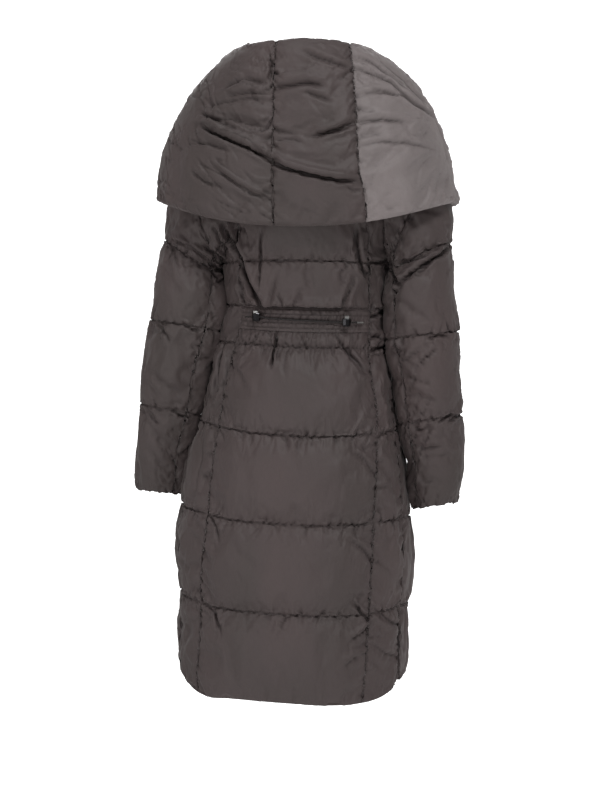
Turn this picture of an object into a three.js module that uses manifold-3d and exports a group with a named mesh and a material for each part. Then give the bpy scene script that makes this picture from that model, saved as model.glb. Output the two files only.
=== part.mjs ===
// Long quilted puffer coat with a wide hood collar, shown as worn and filled out with no wearer.
// Millimetres, +Z up. The front of the coat faces -Y, the wearer's left is +X.
// The origin is the middle of the shoulder line, where the coat is held up.
//
// Every cloth piece is a padded wall between a smooth lining face and a puffed shell face. Both come
// from one ring surface: a ring is a superellipse whose sizes are read from a table of stations.
// Pieces that meet at a seam share the same stations, so their edges stay SEAM_GAP apart.

import * as THREE from 'three';
import { mergeVertices } from 'three/addons/utils/BufferGeometryUtils.js';
import Module from 'manifold-3d';

// ---------------------------------------------------------------- driving sizes
const SEAM_GAP = 0.34;            // between two pieces at a seam
const SEAM_THICK = 5;             // padded wall where it is stitched through
const PINCH_REACH = 26;           // how far the fill is drawn down beside a lengthwise seam
const PINCH_FLOOR = 0.42;         // share of the loft that is left right at such a seam
const CENTRE_TURN = Math.PI;      // angle of the centre front

const PLACKET_HALF = 27;          // half width of the front fly
const PLACKET_THICK = 3.2;
const PLACKET_CLEAR = 0.6;

const VENT_TOP = -838;            // the side vents open below this level
const VENT_SPREAD = 5.5;          // each edge moves this far back at the hem
const HEM_CORNER = 34;            // height over which the vent corners are rounded

const CORD_RADIUS = 1.3;
const CORD_CLEAR = 1.1;           // cord surface above the casing
const LOCK_LIFT = 6.6;            // cord centre above the casing inside a lock
const LOCK_TRAVEL = 2.5;

// ---------------------------------------------------------------- tables
// Coat body, one row a station, from hem to neckline.
// q: station; zBack, zSide, zFront: height there; cx: sideways shift; half: half width;
// back, front: depth; n: squareness; lean: rise towards the wearer's left; flat: how long the level
// of the back and of the front is kept before it rises to the side
const BODY_COLUMNS = ['q', 'zBack', 'zSide', 'zFront', 'cx', 'half', 'back', 'front', 'n', 'lean', 'flat'];
const BODY_TABLE = table(BODY_COLUMNS, [
  [-971, -971, -925, -962, 18, 174, 138, -128, 2.40, 0.055, 2.2],
  [-904, -904, -876, -898, 18, 176, 141, -130, 2.40, 0.055, 1.9],
  [-831, -831, -813, -826, 17, 179, 143, -131, 2.40, 0.055, 1.3],
  [-756, -756, -739, -752, 16, 182, 144, -131, 2.40, 0.055, 1.1],
  [-690, -690, -673, -686, 15, 179, 143, -130, 2.35, 0.055, 1],
  [-620, -620, -604, -616, 12, 170, 140, -127, 2.30, 0.055, 1],
  [-551, -551, -535, -548, 8, 157, 133, -123, 2.30, 0.055, 1],
  [-480, -480, -468, -478, 4, 144, 120, -117, 2.25, 0.050, 1],
  [-411, -411, -404, -410, 1, 134.5, 106, -112, 2.20, 0.045, 1],
  [-386, -386, -380, -386, 0, 129.5, 101, -110, 2.20, 0.040, 1],
  [-346, -346, -343, -346, -2, 125, 100, -111, 2.20, 0.035, 1],
  [-310, -310, -308, -310, -4, 125, 104, -115, 2.20, 0.028, 1],
  [-272, -272, -272, -272, -5, 130, 109, -120, 2.25, 0.020, 1],
  [-238, -238, -238, -238, -6, 137, 113, -123, 2.28, 0.014, 1],
  [-204, -204, -204, -204, -6, 143, 114, -124, 2.30, 0.010, 1],
  [-135, -135, -135, -135, -6, 148, 112, -122, 2.35, 0, 1],
  [-100, -104, -98, -106, -6, 151, 107, -115, 2.40, 0, 1],
  [-65, -73, -60, -79, -6, 155, 98, -104, 2.40, 0, 1],
  [-30, -40, -22, -54, -6, 160, 82, -86, 2.40, 0, 1],
  [5, 2, 6, -34, -6, 112, 71, -71, 2.30, 0, 1],
  [40, 44, 32, -20, -6, 72, 62, -60, 2.20, 0, 1],
]);

// Stitched quilt levels of the coat body, with the loft of the fill in the baffle above each one.
const BODY_QUILTS = table(['q', 'loft', 'backLoft'], [
  [-971, 7, 8], [-831, 8, 8.5], [-690, 8, 8.5], [-551, 8, 8.5], [-411, 5, 4], [-346, 6, 6.5],
  [-272, 6.5, 6.5], [-135, 4, 4], [-30, 3, 3], [40, 0, 0],
]);

// Lengthwise seams of the body. princessL, princessR: across from the centre of the coat;
// side: angle of the side seam; armBackL, armBackR, armFront: angle between side and armhole edge
const SEAMS = table(['q', 'princessL', 'princessR', 'side', 'armBackL', 'armBackR', 'armFront'], [
  [-971, 147, -104, 72, 0, 0, 0],
  [-831, 149, -114, 73, 0, 0, 0],
  [-690, 137, -121, 75, 0, 0, 0],
  [-551, 122, -124, 78, 0, 0, 0],
  [-411, 98, -109, 84, 0, 0, 0],
  [-346, 85, -109, 87, 0, 0, 0],
  [-272, 90, -109, 90, 0, 0, 0],
  [-255, 90, -109, 90, 23, 18, 20],
  [-238, 90, -110, 90, 33, 25, 30],
  [-204, 90, -108, 90, 39, 30, 38],
  [-169, 86, -102, 90, 40, 33, 40],
  [-135, 80, -94, 90, 39, 33, 39],
  [-100, 74, -87, 90, 35, 30, 35],
  [-65, 68, -80, 90, 26, 23, 27],
  [-30, 60, -72, 90, 0, 0, 0],
  [5, 44, -56, 90, 0, 0, 0],
  [40, 26, -38, 90, 0, 0, 0],
]);

// Hood collar, worn down: the visible face from its free edge, up over the crest and down to the
// neck seam. Columns as for the body.
const COLLAR_COLUMNS = ['q', 'zBack', 'zSide', 'zFront', 'cx', 'half', 'back', 'front', 'n', 'lean', 'thick'];
const COLLAR_TABLE = table(COLLAR_COLUMNS, [
  [0, -222, -172, -150, -5, 247, 166, -166, 2.30, 0.018, 10],
  [1, -150, -106, -98, -7.5, 239.5, 168, -161, 2.30, 0.010, 14],
  [2, -58, -23, -47, -7.5, 207, 158, -146, 2.30, 0, 12.5],
  [3, 34, 46, -4, -5, 150, 138, -116, 2.25, 0, 14],
  [4, 80, 72, 22, -5, 113, 107, -88, 2.20, 0, 13],
  [5, 64, 52, 4, -6, 86, 79, -72, 2.20, 0, 9],
  [6, 44.4, 32.4, -19.6, -6, 72, 62, -60, 2.20, 0, 5],
]);
// Seams of the centre collar panel and the ends at the front. left, right: across from the centre;
// end: angle left open beside the centre front
const COLLAR_SEAMS = table(['q', 'left', 'right', 'end'], [
  [0, 28, -119, 15], [1, 29, -116, 11], [2, 30, -108, 8], [3, 32, -97, 6], [4, 32, -86, 5],
  [5, 27, -66, 5], [6, 23, -52, 5],
]);
const COLLAR_ROWS = [0, 0.12, 0.5, 1, 1.5, 2, 2.5, 3, 3.4, 3.8, 4.3, 5, 6];
// Largest folds of the collar and of the upper back, as soft troughs in the shell face.
// th: angle, q: station at each end; wide: half width, deep: depth
const COLLAR_FOLDS = table(['thA', 'qA', 'thB', 'qB', 'wide', 'deep'], [
  [36, 1.95, -14, 1.45, 15, 4.5],
  [18, 2.75, -20, 2.45, 13, 2.5],
]);

// Sleeves. s: 1, 2, 3 are the quilt lines below the armhole, 4 the cuff; zOut, zIn: height of the
// outer and the inner side; x, y: middle of the sleeve; rx, ry: half width and half depth inside
const SLEEVE_COLUMNS = ['s', 'zOut', 'zIn', 'x', 'y', 'rx', 'ry'];
const SLEEVE_LEFT = table(SLEEVE_COLUMNS, [
  [1.0, -232, -290, 182, 12, 41, 56],
  [1.5, -298, -333, 186, 24, 43.5, 55],
  [2.0, -363, -379, 195, 27, 49, 51],
  [2.5, -431, -446, 211.5, 24, 41.5, 49],
  [3.0, -499, -514, 224, 15, 42, 46],
  [3.5, -570, -581, 239.5, -4, 33.5, 43],
  [4.0, -641, -648, 246.5, -25, 33.5, 40],
]);
const SLEEVE_RIGHT = table(SLEEVE_COLUMNS, [
  [1.0, -240, -290, -192, 14, 43, 56],
  [1.5, -312, -341, -193, 25, 41, 55],
  [2.0, -384, -396, -197, 24, 49, 51],
  [2.5, -451, -464, -204, 20, 39, 49],
  [3.0, -517, -531, -210.5, 12, 41.5, 46],
  [3.5, -588, -600, -214.5, -2, 32.5, 43],
  [4.0, -659, -670, -213.5, -19, 29.5, 40],
]);
const SLEEVE_ROWS = [0, 0.14, 0.3, 0.5, 0.67, 0.84, 1, 1.25, 1.5, 1.75, 2, 2.25, 2.5, 2.75, 3, 3.25, 3.5, 3.75, 4];
const SLEEVE_QUILTS = table(['s', 'loft'], [[0, 1.5], [0.5, 4], [1, 6.5], [2, 6.5], [3, 5.5], [4, 0]]);
const SLEEVE_SEAM_FRONT = 5;      // of 16 steps round the sleeve, 0 is the top of the shoulder
const SLEEVE_SEAM_BACK = 10;

// Rows of the body walls, shared by all its pieces
const BODY_ROWS = [-971, -936, -900, -866, -831, -796, -760, -725, -690, -655, -620, -586, -551, -516, -481,
  -446, -411, -398, -386, -366, -346, -322, -297, -272, -255, -238, -204, -169, -135, -100, -65, -30, 5, 40];
const ARMHOLE_ROWS = [-30, -65, -100, -135, -169, -204, -238, -255, -272];
const WAIST_TOP = -346, WAIST_LOW = -386;

// Shell fabric and hardware colours
const SHELL = { color: 0x4a4442, roughness: 0.52, metalness: 0 };
const SHELL_BAND = { color: 0x443e3c, roughness: 0.6, metalness: 0 };
const CORD_LOOK = { color: 0x2e2a29, roughness: 0.8, metalness: 0 };
const METAL = { color: 0x55565a, roughness: 0.25, metalness: 1 };
const METAL_BRIGHT = { color: 0xb9bcc2, roughness: 0.2, metalness: 1 };

// ---------------------------------------------------------------- helpers
function table(columns, rows) {
  return rows.map((row) => Object.fromEntries(columns.map((name, k) => [name, row[k]])));
}

const rad = (deg) => (deg * Math.PI) / 180;
const clamp = (v, lo, hi) => Math.min(hi, Math.max(lo, v));
const smooth = (t) => { const u = clamp(t, 0, 1); return u * u * (3 - 2 * u); };

// A column of a table at any key, as a monotone cubic through its rows
function read(rows, key, column, at) {
  const n = rows.length;
  if (at <= rows[0][key]) return rows[0][column];
  if (at >= rows[n - 1][key]) return rows[n - 1][column];
  let k = 0;
  while (at > rows[k + 1][key]) k++;
  const slope = (a) => (rows[a + 1][column] - rows[a][column]) / (rows[a + 1][key] - rows[a][key]);
  const tangent = (a) => {
    if (a === 0) return slope(0);
    if (a === n - 1) return slope(n - 2);
    const before = slope(a - 1), after = slope(a);
    return before * after <= 0 ? 0 : (2 * before * after) / (before + after);
  };
  const width = rows[k + 1][key] - rows[k][key];
  const t = (at - rows[k][key]) / width;
  const t2 = t * t, t3 = t2 * t;
  return (2 * t3 - 3 * t2 + 1) * rows[k][column] + (t3 - 2 * t2 + t) * width * tangent(k)
    + (-2 * t3 + 3 * t2) * rows[k + 1][column] + (t3 - t2) * width * tangent(k + 1);
}

function station(rows, q) {
  const out = {};
  for (const name of Object.keys(rows[0])) out[name] = name === 'q' ? q : read(rows, 'q', name, q);
  return out;
}

const signedPower = (v, p) => Math.sign(v) * Math.pow(Math.abs(v), p);

// A point of a ring. th = 0 is the centre back, 90 degrees the wearer's left side.
function ringPoint(st, th) {
  const s = Math.sin(th), c = Math.cos(th);
  const across = st.half * signedPower(s, 2 / st.n);
  const depth = (c >= 0 ? st.back : -st.front) * signedPower(c, 2 / st.n);
  const level = 1 - Math.pow(s * s, st.flat ?? 1);
  const z = st.zSide + ((c >= 0 ? st.zBack : st.zFront) - st.zSide) * level + st.lean * across;
  return new THREE.Vector3(st.cx + across, depth, z);
}

// The angle at which a ring passes x on its back half
function angleOf(st, x) {
  const r = clamp(Math.abs(x - st.cx) / st.half, 0, 1);
  return Math.sign(x - st.cx) * Math.asin(Math.pow(r, st.n / 2));
}

// A surface with its outward normal and its step lengths
function makeSurface(rows, dq) {
  const lo = rows[0].q, hi = rows[rows.length - 1].q;
  const point = (th, q) => ringPoint(station(rows, q), th);
  return (th, q) => {
    const qa = Math.max(lo, q - dq), qb = Math.min(hi, q + dq);
    const p = point(th, q);
    const along = point(th, qb).sub(point(th, qa));
    const round = point(th + 0.012, q).sub(point(th - 0.012, q));
    const normal = new THREE.Vector3().crossVectors(along, round).normalize();
    return { p, normal, perTh: round.length() / 0.024, perQ: along.length() / (qb - qa) };
  };
}

// Loft of the fill between two stitched levels
function puff(levels, key, at, column) {
  for (let k = 0; k < levels.length - 1; k++) {
    const a = levels[k][key], b = levels[k + 1][key];
    if (at >= a && at <= b) return levels[k][column] * Math.pow(Math.sin(Math.PI * (at - a) / (b - a)), 0.72);
  }
  return 0;
}

// A closed wall from two grids of points, shell[j][i] and lining[j][i]
function wallGeometry(shell, lining) {
  const nv = shell.length, nu = shell[0].length;
  const position = [];
  for (const grid of [shell, lining]) for (const row of grid) for (const p of row) position.push(p.x, p.y, p.z);
  const S = (j, i) => j * nu + i, L = (j, i) => nv * nu + j * nu + i;
  const index = [];
  const quad = (a, b, c, d) => index.push(a, b, c, a, c, d);
  for (let j = 0; j < nv - 1; j++) {
    for (let i = 0; i < nu - 1; i++) {
      quad(S(j, i), S(j + 1, i), S(j + 1, i + 1), S(j, i + 1));
      quad(L(j, i), L(j, i + 1), L(j + 1, i + 1), L(j + 1, i));
    }
    quad(S(j, 0), L(j, 0), L(j + 1, 0), S(j + 1, 0));
    quad(S(j, nu - 1), S(j + 1, nu - 1), L(j + 1, nu - 1), L(j, nu - 1));
  }
  for (let i = 0; i < nu - 1; i++) {
    quad(S(0, i), S(0, i + 1), L(0, i + 1), L(0, i));
    quad(S(nv - 1, i), L(nv - 1, i), L(nv - 1, i + 1), S(nv - 1, i + 1));
  }
  return closedGeometry(position, index);
}

function closedGeometry(position, index) {
  let volume = 0;
  const v = (k) => new THREE.Vector3(position[3 * k], position[3 * k + 1], position[3 * k + 2]);
  for (let k = 0; k < index.length; k += 3) volume += v(index[k]).dot(v(index[k + 1]).cross(v(index[k + 2])));
  if (volume < 0) for (let k = 0; k < index.length; k += 3) [index[k + 1], index[k + 2]] = [index[k + 2], index[k + 1]];
  const geometry = new THREE.BufferGeometry();
  geometry.setAttribute('position', new THREE.Float32BufferAttribute(position, 3));
  geometry.setIndex(index);
  geometry.computeVertexNormals();
  return geometry;
}

const coat = new THREE.Group();
coat.name = 'long_puffer_coat';
const groups = {};
for (const name of ['body', 'sleeves', 'collar', 'drawcord']) {
  groups[name] = new THREE.Group();
  groups[name].name = name;
  coat.add(groups[name]);
}
function addMesh(group, name, geometry, look) {
  const mesh = new THREE.Mesh(geometry, new THREE.MeshStandardMaterial(look));
  mesh.name = name;
  groups[group].add(mesh);
  return mesh;
}

// ---------------------------------------------------------------- coat body
const bodyAt = makeSurface(BODY_TABLE, 4);
const seam = (column, q) => read(SEAMS, 'q', column, q);
const princess = (side, q) => angleOf(station(BODY_TABLE, q), seam(side > 0 ? 'princessL' : 'princessR', q));

// Angle of the side seam or, beside the armhole, of its back or front edge
const inArmhole = (q) => q > -272 && q < -30;
const backEdge = (side, q) => side * rad(seam('side', q) - (inArmhole(q) ? seam(side > 0 ? 'armBackL' : 'armBackR', q) : 0));
const frontEdge = (side, q) => side * rad(seam('side', q) + (inArmhole(q) ? seam('armFront', q) : 0));

// Distances to the lengthwise seams draw the fill down beside them
function lengthwisePinch(th, q, perTh) {
  const side = th >= 0 ? 1 : -1;
  const lines = [princess(side, q), backEdge(side, q), frontEdge(side, q), side * CENTRE_TURN];
  const near = Math.min(...lines.map((line) => Math.abs(th - line) * perTh));
  return PINCH_FLOOR + (1 - PINCH_FLOOR) * Math.sqrt(smooth(near / PINCH_REACH));
}

// The back's waist casing is stitched flat between its two levels
function bodyThickness(th, q, perTh) {
  const side = th >= 0 ? 1 : -1;
  const onBack = Math.abs(th) <= Math.abs(princess(side, q)) + 1e-6;
  let loft = puff(BODY_QUILTS, 'q', q, onBack ? 'backLoft' : 'loft');
  if (onBack) {
    const toEdge = Math.min(1, Math.abs(Math.abs(th) - Math.abs(princess(side, q))) * perTh / 18);
    const sideLoft = puff(BODY_QUILTS, 'q', q, 'loft');
    let flat = loft;
    if (q <= WAIST_TOP && q >= WAIST_LOW) flat = 0.8;
    else if (q < WAIST_LOW && q > -411) flat = 3.2 * Math.sin(Math.PI * (q + 411) / 25);
    loft = sideLoft + (flat - sideLoft) * toEdge;
  }
  return SEAM_THICK + loft * lengthwisePinch(th, q, perTh);
}

const rowsBetween = (lo, hi) => BODY_ROWS.filter((q) => q >= lo - 1e-6 && q <= hi + 1e-6);

// The body's neckline as built, so that the collar can sit on it
const neckline = [];

// One body piece: rows of stations, two edge angles, and columns as shares of the way between them
function bodyPanel(lo, hi, edgeA, edgeB, columns, { openA = () => 0, openB = () => 0, ripple = 0 } = {}) {
  const rows = rowsBetween(lo, hi);
  const shell = [], lining = [];
  rows.forEach((row, j) => {
    let q = row;
    const probe = bodyAt(edgeA(row), row);
    if (j === 0 && lo > BODY_ROWS[0]) q += SEAM_GAP / 2 / probe.perQ;
    if (j === rows.length - 1 && hi < 40) q -= SEAM_GAP / 2 / probe.perQ;
    const a0 = edgeA(row), b0 = edgeB(row);
    const a = a0 + Math.sign(b0 - a0) * (SEAM_GAP / 2 + openA(row)) / bodyAt(a0, row).perTh;
    const b = b0 - Math.sign(b0 - a0) * (SEAM_GAP / 2 + openB(row)) / bodyAt(b0, row).perTh;
    shell.push([]); lining.push([]);
    columns.forEach((share, i) => {
      const th = a + (b - a) * share;
      const at = bodyAt(th, q);
      const gathered = ripple && j > 0 && j < rows.length - 1 && i > 0 && i < columns.length - 1 ? ripple * (i % 2 ? 1 : -1) : 0;
      const thick = bodyThickness(th, row, at.perTh) + gathered;
      lining[j].push(at.p.clone());
      shell[j].push(at.p.clone().addScaledVector(at.normal, thick));
      if (row === 40) neckline.push({ th, inner: lining[j][i], outer: shell[j][i] });
    });
  });
  return wallGeometry(shell, lining);
}

const even = (count) => Array.from({ length: count + 1 }, (_, i) => i / count);
// Columns closer together beside both seams
const crowned = (count) => even(count).map((t) => t - 0.1 * Math.sin(2 * Math.PI * t) / Math.PI * 1.6);

const left = 1, right = -1;
const backCols = crowned(8);
addMesh('body', 'back_upper', bodyPanel(WAIST_TOP, 40, (q) => princess(right, q), (q) => princess(left, q), backCols), SHELL);
addMesh('body', 'waist_casing', bodyPanel(WAIST_LOW, WAIST_TOP, (q) => princess(right, q), (q) => princess(left, q), even(18), { ripple: 0.7 }), SHELL_BAND);
addMesh('body', 'back_lower', bodyPanel(-971, WAIST_LOW, (q) => princess(right, q), (q) => princess(left, q), backCols), SHELL);

// The vents: both edges stand back from the side seam below VENT_TOP, with rounded hem corners
const vent = (q) => {
  if (q >= VENT_TOP) return 0;
  const t = (VENT_TOP - q) / (VENT_TOP + 971);
  const corner = Math.max(0, (-971 + HEM_CORNER - q) / HEM_CORNER);
  return 1.2 + VENT_SPREAD * t + 6 * corner * corner;
};
const sideCols = [0, 0.24, 0.62, 1];
const frontShares = (side) => (q) => {
  const st = station(BODY_TABLE, q);
  const end = Math.PI - Math.asin(Math.pow(PLACKET_HALF / st.half, st.n / 2));
  return side * end;
};
for (const [side, word] of [[left, 'left'], [right, 'right']]) {
  addMesh('body', `side_back_${word}`, bodyPanel(-971, 40, (q) => princess(side, q), (q) => backEdge(side, q), sideCols, { openB: vent }), SHELL);
}

// A front reaches from the side seam to the centre front. Its last column lies under the fly's edge.
function frontPanel(side) {
  const rows = rowsBetween(-971, 40);
  const shell = [], lining = [];
  const flyEdge = frontShares(side);
  for (const row of rows) {
    const a0 = frontEdge(side, row);
    const a = a0 + side * (SEAM_GAP / 2 + vent(row)) / bodyAt(a0, row).perTh;
    const f = flyEdge(row);
    const end = side * CENTRE_TURN - side * (SEAM_GAP / 2) / bodyAt(side * CENTRE_TURN, row).perTh;
    const turns = [0, 0.14, 0.42, 0.72].map((t) => a + (f - a) * t).concat([f, end]);
    if (side < 0) turns.reverse();
    shell.push(turns.map((th) => { const at = bodyAt(th, row); return at.p.clone().addScaledVector(at.normal, bodyThickness(th, row, at.perTh)); }));
    lining.push(turns.map((th) => bodyAt(th, row).p));
    if (row === 40) turns.forEach((th, i) => neckline.push({ th, inner: lining[lining.length - 1][i], outer: shell[shell.length - 1][i] }));
  }
  return wallGeometry(shell, lining);
}
addMesh('body', 'front_left', frontPanel(left), SHELL);
addMesh('body', 'front_right', frontPanel(right), SHELL);

// Front fly: a strip made from the front panels' own points, moved out
function placket() {
  const rows = rowsBetween(-971, 40);
  const shell = [], lining = [];
  rows.forEach((row, j) => {
    const q = row;
    const turns = [frontShares(left)(row), CENTRE_TURN, -frontShares(left)(row) + 2 * Math.PI];
    const base = turns.map((th) => { const at = bodyAt(th, q); return { at, out: bodyThickness(th > CENTRE_TURN ? th - 2 * Math.PI : th, row, at.perTh) }; });
    lining.push(base.map(({ at, out }) => at.p.clone().addScaledVector(at.normal, out + PLACKET_CLEAR)));
    shell.push(base.map(({ at, out }) => at.p.clone().addScaledVector(at.normal, out + PLACKET_CLEAR + PLACKET_THICK)));
  });
  // the top ends part of the way up the last row, below the collar
  const last = rows.length - 1;
  for (const grid of [shell, lining]) grid[last] = grid[last].map((p, i) => grid[last - 1][i].clone().lerp(p, 0.62));
  return wallGeometry(shell, lining);
}
addMesh('body', 'front_fly', placket(), SHELL);

// ---------------------------------------------------------------- sleeves
// Points round the armhole: 0 is the shoulder tip, then down the front, 8 under the arm, up the back.
function armholeLoop(side, a) {
  const turn = ((a % 16) + 16) % 16;
  const half = turn <= 8 ? turn : 16 - turn;
  const k = Math.min(7, Math.floor(half)), t = half - k;
  const q = ARMHOLE_ROWS[k] + (ARMHOLE_ROWS[k + 1] - ARMHOLE_ROWS[k]) * t;
  const edge = turn <= 8 ? frontEdge : backEdge;
  const thA = edge(side, ARMHOLE_ROWS[k]), thB = edge(side, ARMHOLE_ROWS[k + 1]);
  return { th: thA + (thB - thA) * t, q, half };
}

function makeSleeve(side, rows, word) {
  const hub = { th: side * rad(90), q: -150 };
  const shellPoint = (th, q, clear, half) => {
    const at = bodyAt(th, q);
    const lift = clear + 6.6 * smooth(1 - half / 2.7);
    return { p: at.p.clone().addScaledVector(at.normal, bodyThickness(th, q, at.perTh) + lift), at };
  };
  // the sleeve's end lies against the body's shell face round the armhole
  const mouth = (a) => { const e = armholeLoop(side, a); return shellPoint(e.th, e.q, 1.0, e.half); };
  const mouthOuter = (a) => {
    const e = armholeLoop(side, a);
    const at = bodyAt(e.th, e.q);
    const dTh = (e.th - hub.th) * at.perTh, dQ = (e.q - hub.q) * at.perQ;
    const length = Math.hypot(dTh, dQ);
    const reach = 5.2;
    return shellPoint(e.th + (dTh / length) * reach / at.perTh, e.q + (dQ / length) * reach / at.perQ, 1.5, e.half).p;
  };
  const tube = (a, s) => {
    const get = (column) => read(rows, 's', column, s);
    const turn = a * Math.PI / 8;
    const zMid = (get('zOut') + get('zIn')) / 2, zHalf = (get('zOut') - get('zIn')) / 2;
    return new THREE.Vector3(get('x') + side * get('rx') * Math.cos(turn), get('y') - get('ry') * Math.sin(turn), zMid + zHalf * Math.cos(turn));
  };
  const centre = (a, s) => {
    if (s >= 1) return tube(a, s);
    const m = mouth(a), p1 = tube(a, 1);
    const reach = m.p.distanceTo(p1);
    const top = 0.5 + 0.5 * Math.cos(a * Math.PI / 8);
    const out = new THREE.Vector3(side, 0, -0.25 * top).normalize().multiplyScalar(0.6).addScaledVector(m.at.normal, 0.4).normalize();
    const t0 = out.multiplyScalar(reach * (0.42 + 0.42 * (1 - top)));
    const t1 = tube(a, 1.12).sub(p1).normalize().multiplyScalar(reach * (0.55 + 0.35 * top));
    const s2 = s * s, s3 = s2 * s;
    return new THREE.Vector3()
      .addScaledVector(m.p, 2 * s3 - 3 * s2 + 1).addScaledVector(t0, s3 - 2 * s2 + s)
      .addScaledVector(p1, -2 * s3 + 3 * s2).addScaledVector(t1, s3 - s2);
  };
  const at = (a, s) => {
    const sa = Math.max(0, s - 0.05), sb = Math.min(4, s + 0.05);
    const along = centre(a, sb).sub(centre(a, sa));
    const round = centre(a + 0.3, s).sub(centre(a - 0.3, s));
    const normal = new THREE.Vector3().crossVectors(along, round).normalize().multiplyScalar(-side);
    const mid = centre(0, s).add(centre(8, s)).add(centre(4, s)).add(centre(12, s)).multiplyScalar(0.25);
    if (normal.dot(centre(a, s).sub(mid)) < 0) normal.negate();
    return { p: centre(a, s), normal, perA: round.length() / 0.6 };
  };
  const thickness = (a, s, perA) => {
    const turn = ((a % 16) + 16) % 16;
    const near = Math.min(Math.abs(turn - SLEEVE_SEAM_FRONT), Math.abs(turn - SLEEVE_SEAM_BACK)) * perA;
    const pinch = PINCH_FLOOR + (1 - PINCH_FLOOR) * Math.sqrt(smooth(near / PINCH_REACH));
    return SEAM_THICK + puff(SLEEVE_QUILTS, 's', s, 'loft') * pinch;
  };
  const piece = (from, to) => {
    const shell = [], lining = [];
    for (const s of SLEEVE_ROWS) {
      const list = [];
      for (let a = from; a <= to; a++) {
        const nudge = a === from ? 1 : a === to ? -1 : 0;
        list.push(a + nudge * (SEAM_GAP / 2) / at(a, s).perA);
      }
      lining.push(list.map((a) => (s === 0 ? mouth(a).p : centre(a, s))));
      shell.push(list.map((a) => {
        if (s === 0) return mouthOuter(a);
        const here = at(a, s);
        return here.p.clone().addScaledVector(here.normal, thickness(a, s, here.perA));
      }));
    }
    return wallGeometry(shell, lining);
  };
  addMesh('sleeves', `sleeve_${word}_upper`, piece(SLEEVE_SEAM_BACK, SLEEVE_SEAM_FRONT + 16), SHELL);
  addMesh('sleeves', `sleeve_${word}_under`, piece(SLEEVE_SEAM_FRONT, SLEEVE_SEAM_BACK), SHELL);
}
makeSleeve(left, SLEEVE_LEFT, 'left');
makeSleeve(right, SLEEVE_RIGHT, 'right');

// ---------------------------------------------------------------- hood collar
const collarAt = makeSurface(COLLAR_TABLE, 0.08);
const collarSeam = (side, q) => angleOf(station(COLLAR_TABLE, q), read(COLLAR_SEAMS, 'q', side > 0 ? 'left' : 'right', q));
const collarEnd = (side, q) => side * (Math.PI - rad(read(COLLAR_SEAMS, 'q', 'end', q)));

// Distance from a point of the collar to a fold's line, in its own face
function foldDepth(th, q, at) {
  let depth = 0;
  for (const f of COLLAR_FOLDS) {
    const ax = rad(f.thA) * at.perTh, ay = f.qA * at.perQ, bx = rad(f.thB) * at.perTh, by = f.qB * at.perQ;
    const px = th * at.perTh, py = q * at.perQ;
    const along = clamp(((px - ax) * (bx - ax) + (py - ay) * (by - ay)) / ((bx - ax) ** 2 + (by - ay) ** 2), 0, 1);
    const gap = Math.hypot(px - ax - along * (bx - ax), py - ay - along * (by - ay));
    depth += f.deep * Math.exp(-((gap / f.wide) ** 2)) * Math.sin(Math.PI * clamp(along * 0.86 + 0.07, 0, 1));
  }
  return depth;
}

// The neckline between two of the body's own columns, and the way up off its edge
neckline.sort((a, b) => a.th - b.th);
function necklineAt(th) {
  let k = 0;
  while (k < neckline.length - 2 && neckline[k + 1].th < th) k++;
  const a = neckline[k], b = neckline[k + 1], t = clamp((th - a.th) / Math.max(1e-6, b.th - a.th), 0, 1);
  const st = bodyAt(th, 40), below = bodyAt(th, 37);
  return { inner: a.inner.clone().lerp(b.inner, t), outer: a.outer.clone().lerp(b.outer, t), up: st.p.clone().sub(below.p).normalize() };
}

function collarPanel(edgeA, edgeB, columns) {
  const shell = [], under = [];
  for (const q of COLLAR_ROWS) {
    const a0 = edgeA(q), b0 = edgeB(q);
    const a = a0 + Math.sign(b0 - a0) * (SEAM_GAP / 2) / collarAt(a0, q).perTh;
    const b = b0 - Math.sign(b0 - a0) * (SEAM_GAP / 2) / collarAt(b0, q).perTh;
    shell.push([]); under.push([]);
    for (const share of columns) {
      const th = a + (b - a) * share;
      const at = collarAt(th, q);
      const near = Math.min(Math.abs(th - collarSeam(left, q)), Math.abs(th - collarSeam(right, q))) * at.perTh;
      const drawn = (1 - Math.sqrt(smooth(near / 30))) * 3.2;
      const sunk = q < 5 ? drawn + foldDepth(th, q, at) : 0;
      if (q === 6) {
        const { inner, outer, up } = necklineAt(th);
        const clear = SEAM_GAP + 0.9 * smooth((Math.abs(th) - 1.3) / 0.3);
        shell[shell.length - 1].push(inner.clone().addScaledVector(up, clear));
        under[under.length - 1].push(outer.clone().addScaledVector(up, clear));
        continue;
      }
      const thick = read(COLLAR_TABLE, 'q', 'thick', q);
      shell[shell.length - 1].push(at.p.clone().addScaledVector(at.normal, -sunk));
      under[under.length - 1].push(at.p.clone().addScaledVector(at.normal, -thick));
    }
  }
  return wallGeometry(shell, under);
}
addMesh('collar', 'collar_centre', collarPanel((q) => collarSeam(right, q), (q) => collarSeam(left, q), crowned(5)), SHELL);
addMesh('collar', 'collar_left', collarPanel((q) => collarSeam(left, q), (q) => collarEnd(left, q), [0, 0.07, 0.16, 0.27, 0.38, 0.48, 0.58, 0.68, 0.79, 0.9, 1]), SHELL);
addMesh('collar', 'collar_right', collarPanel((q) => collarSeam(right, q), (q) => collarEnd(right, q), [0, 0.07, 0.17, 0.28, 0.4, 0.51, 0.62, 0.74, 0.87, 1]), SHELL);

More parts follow.
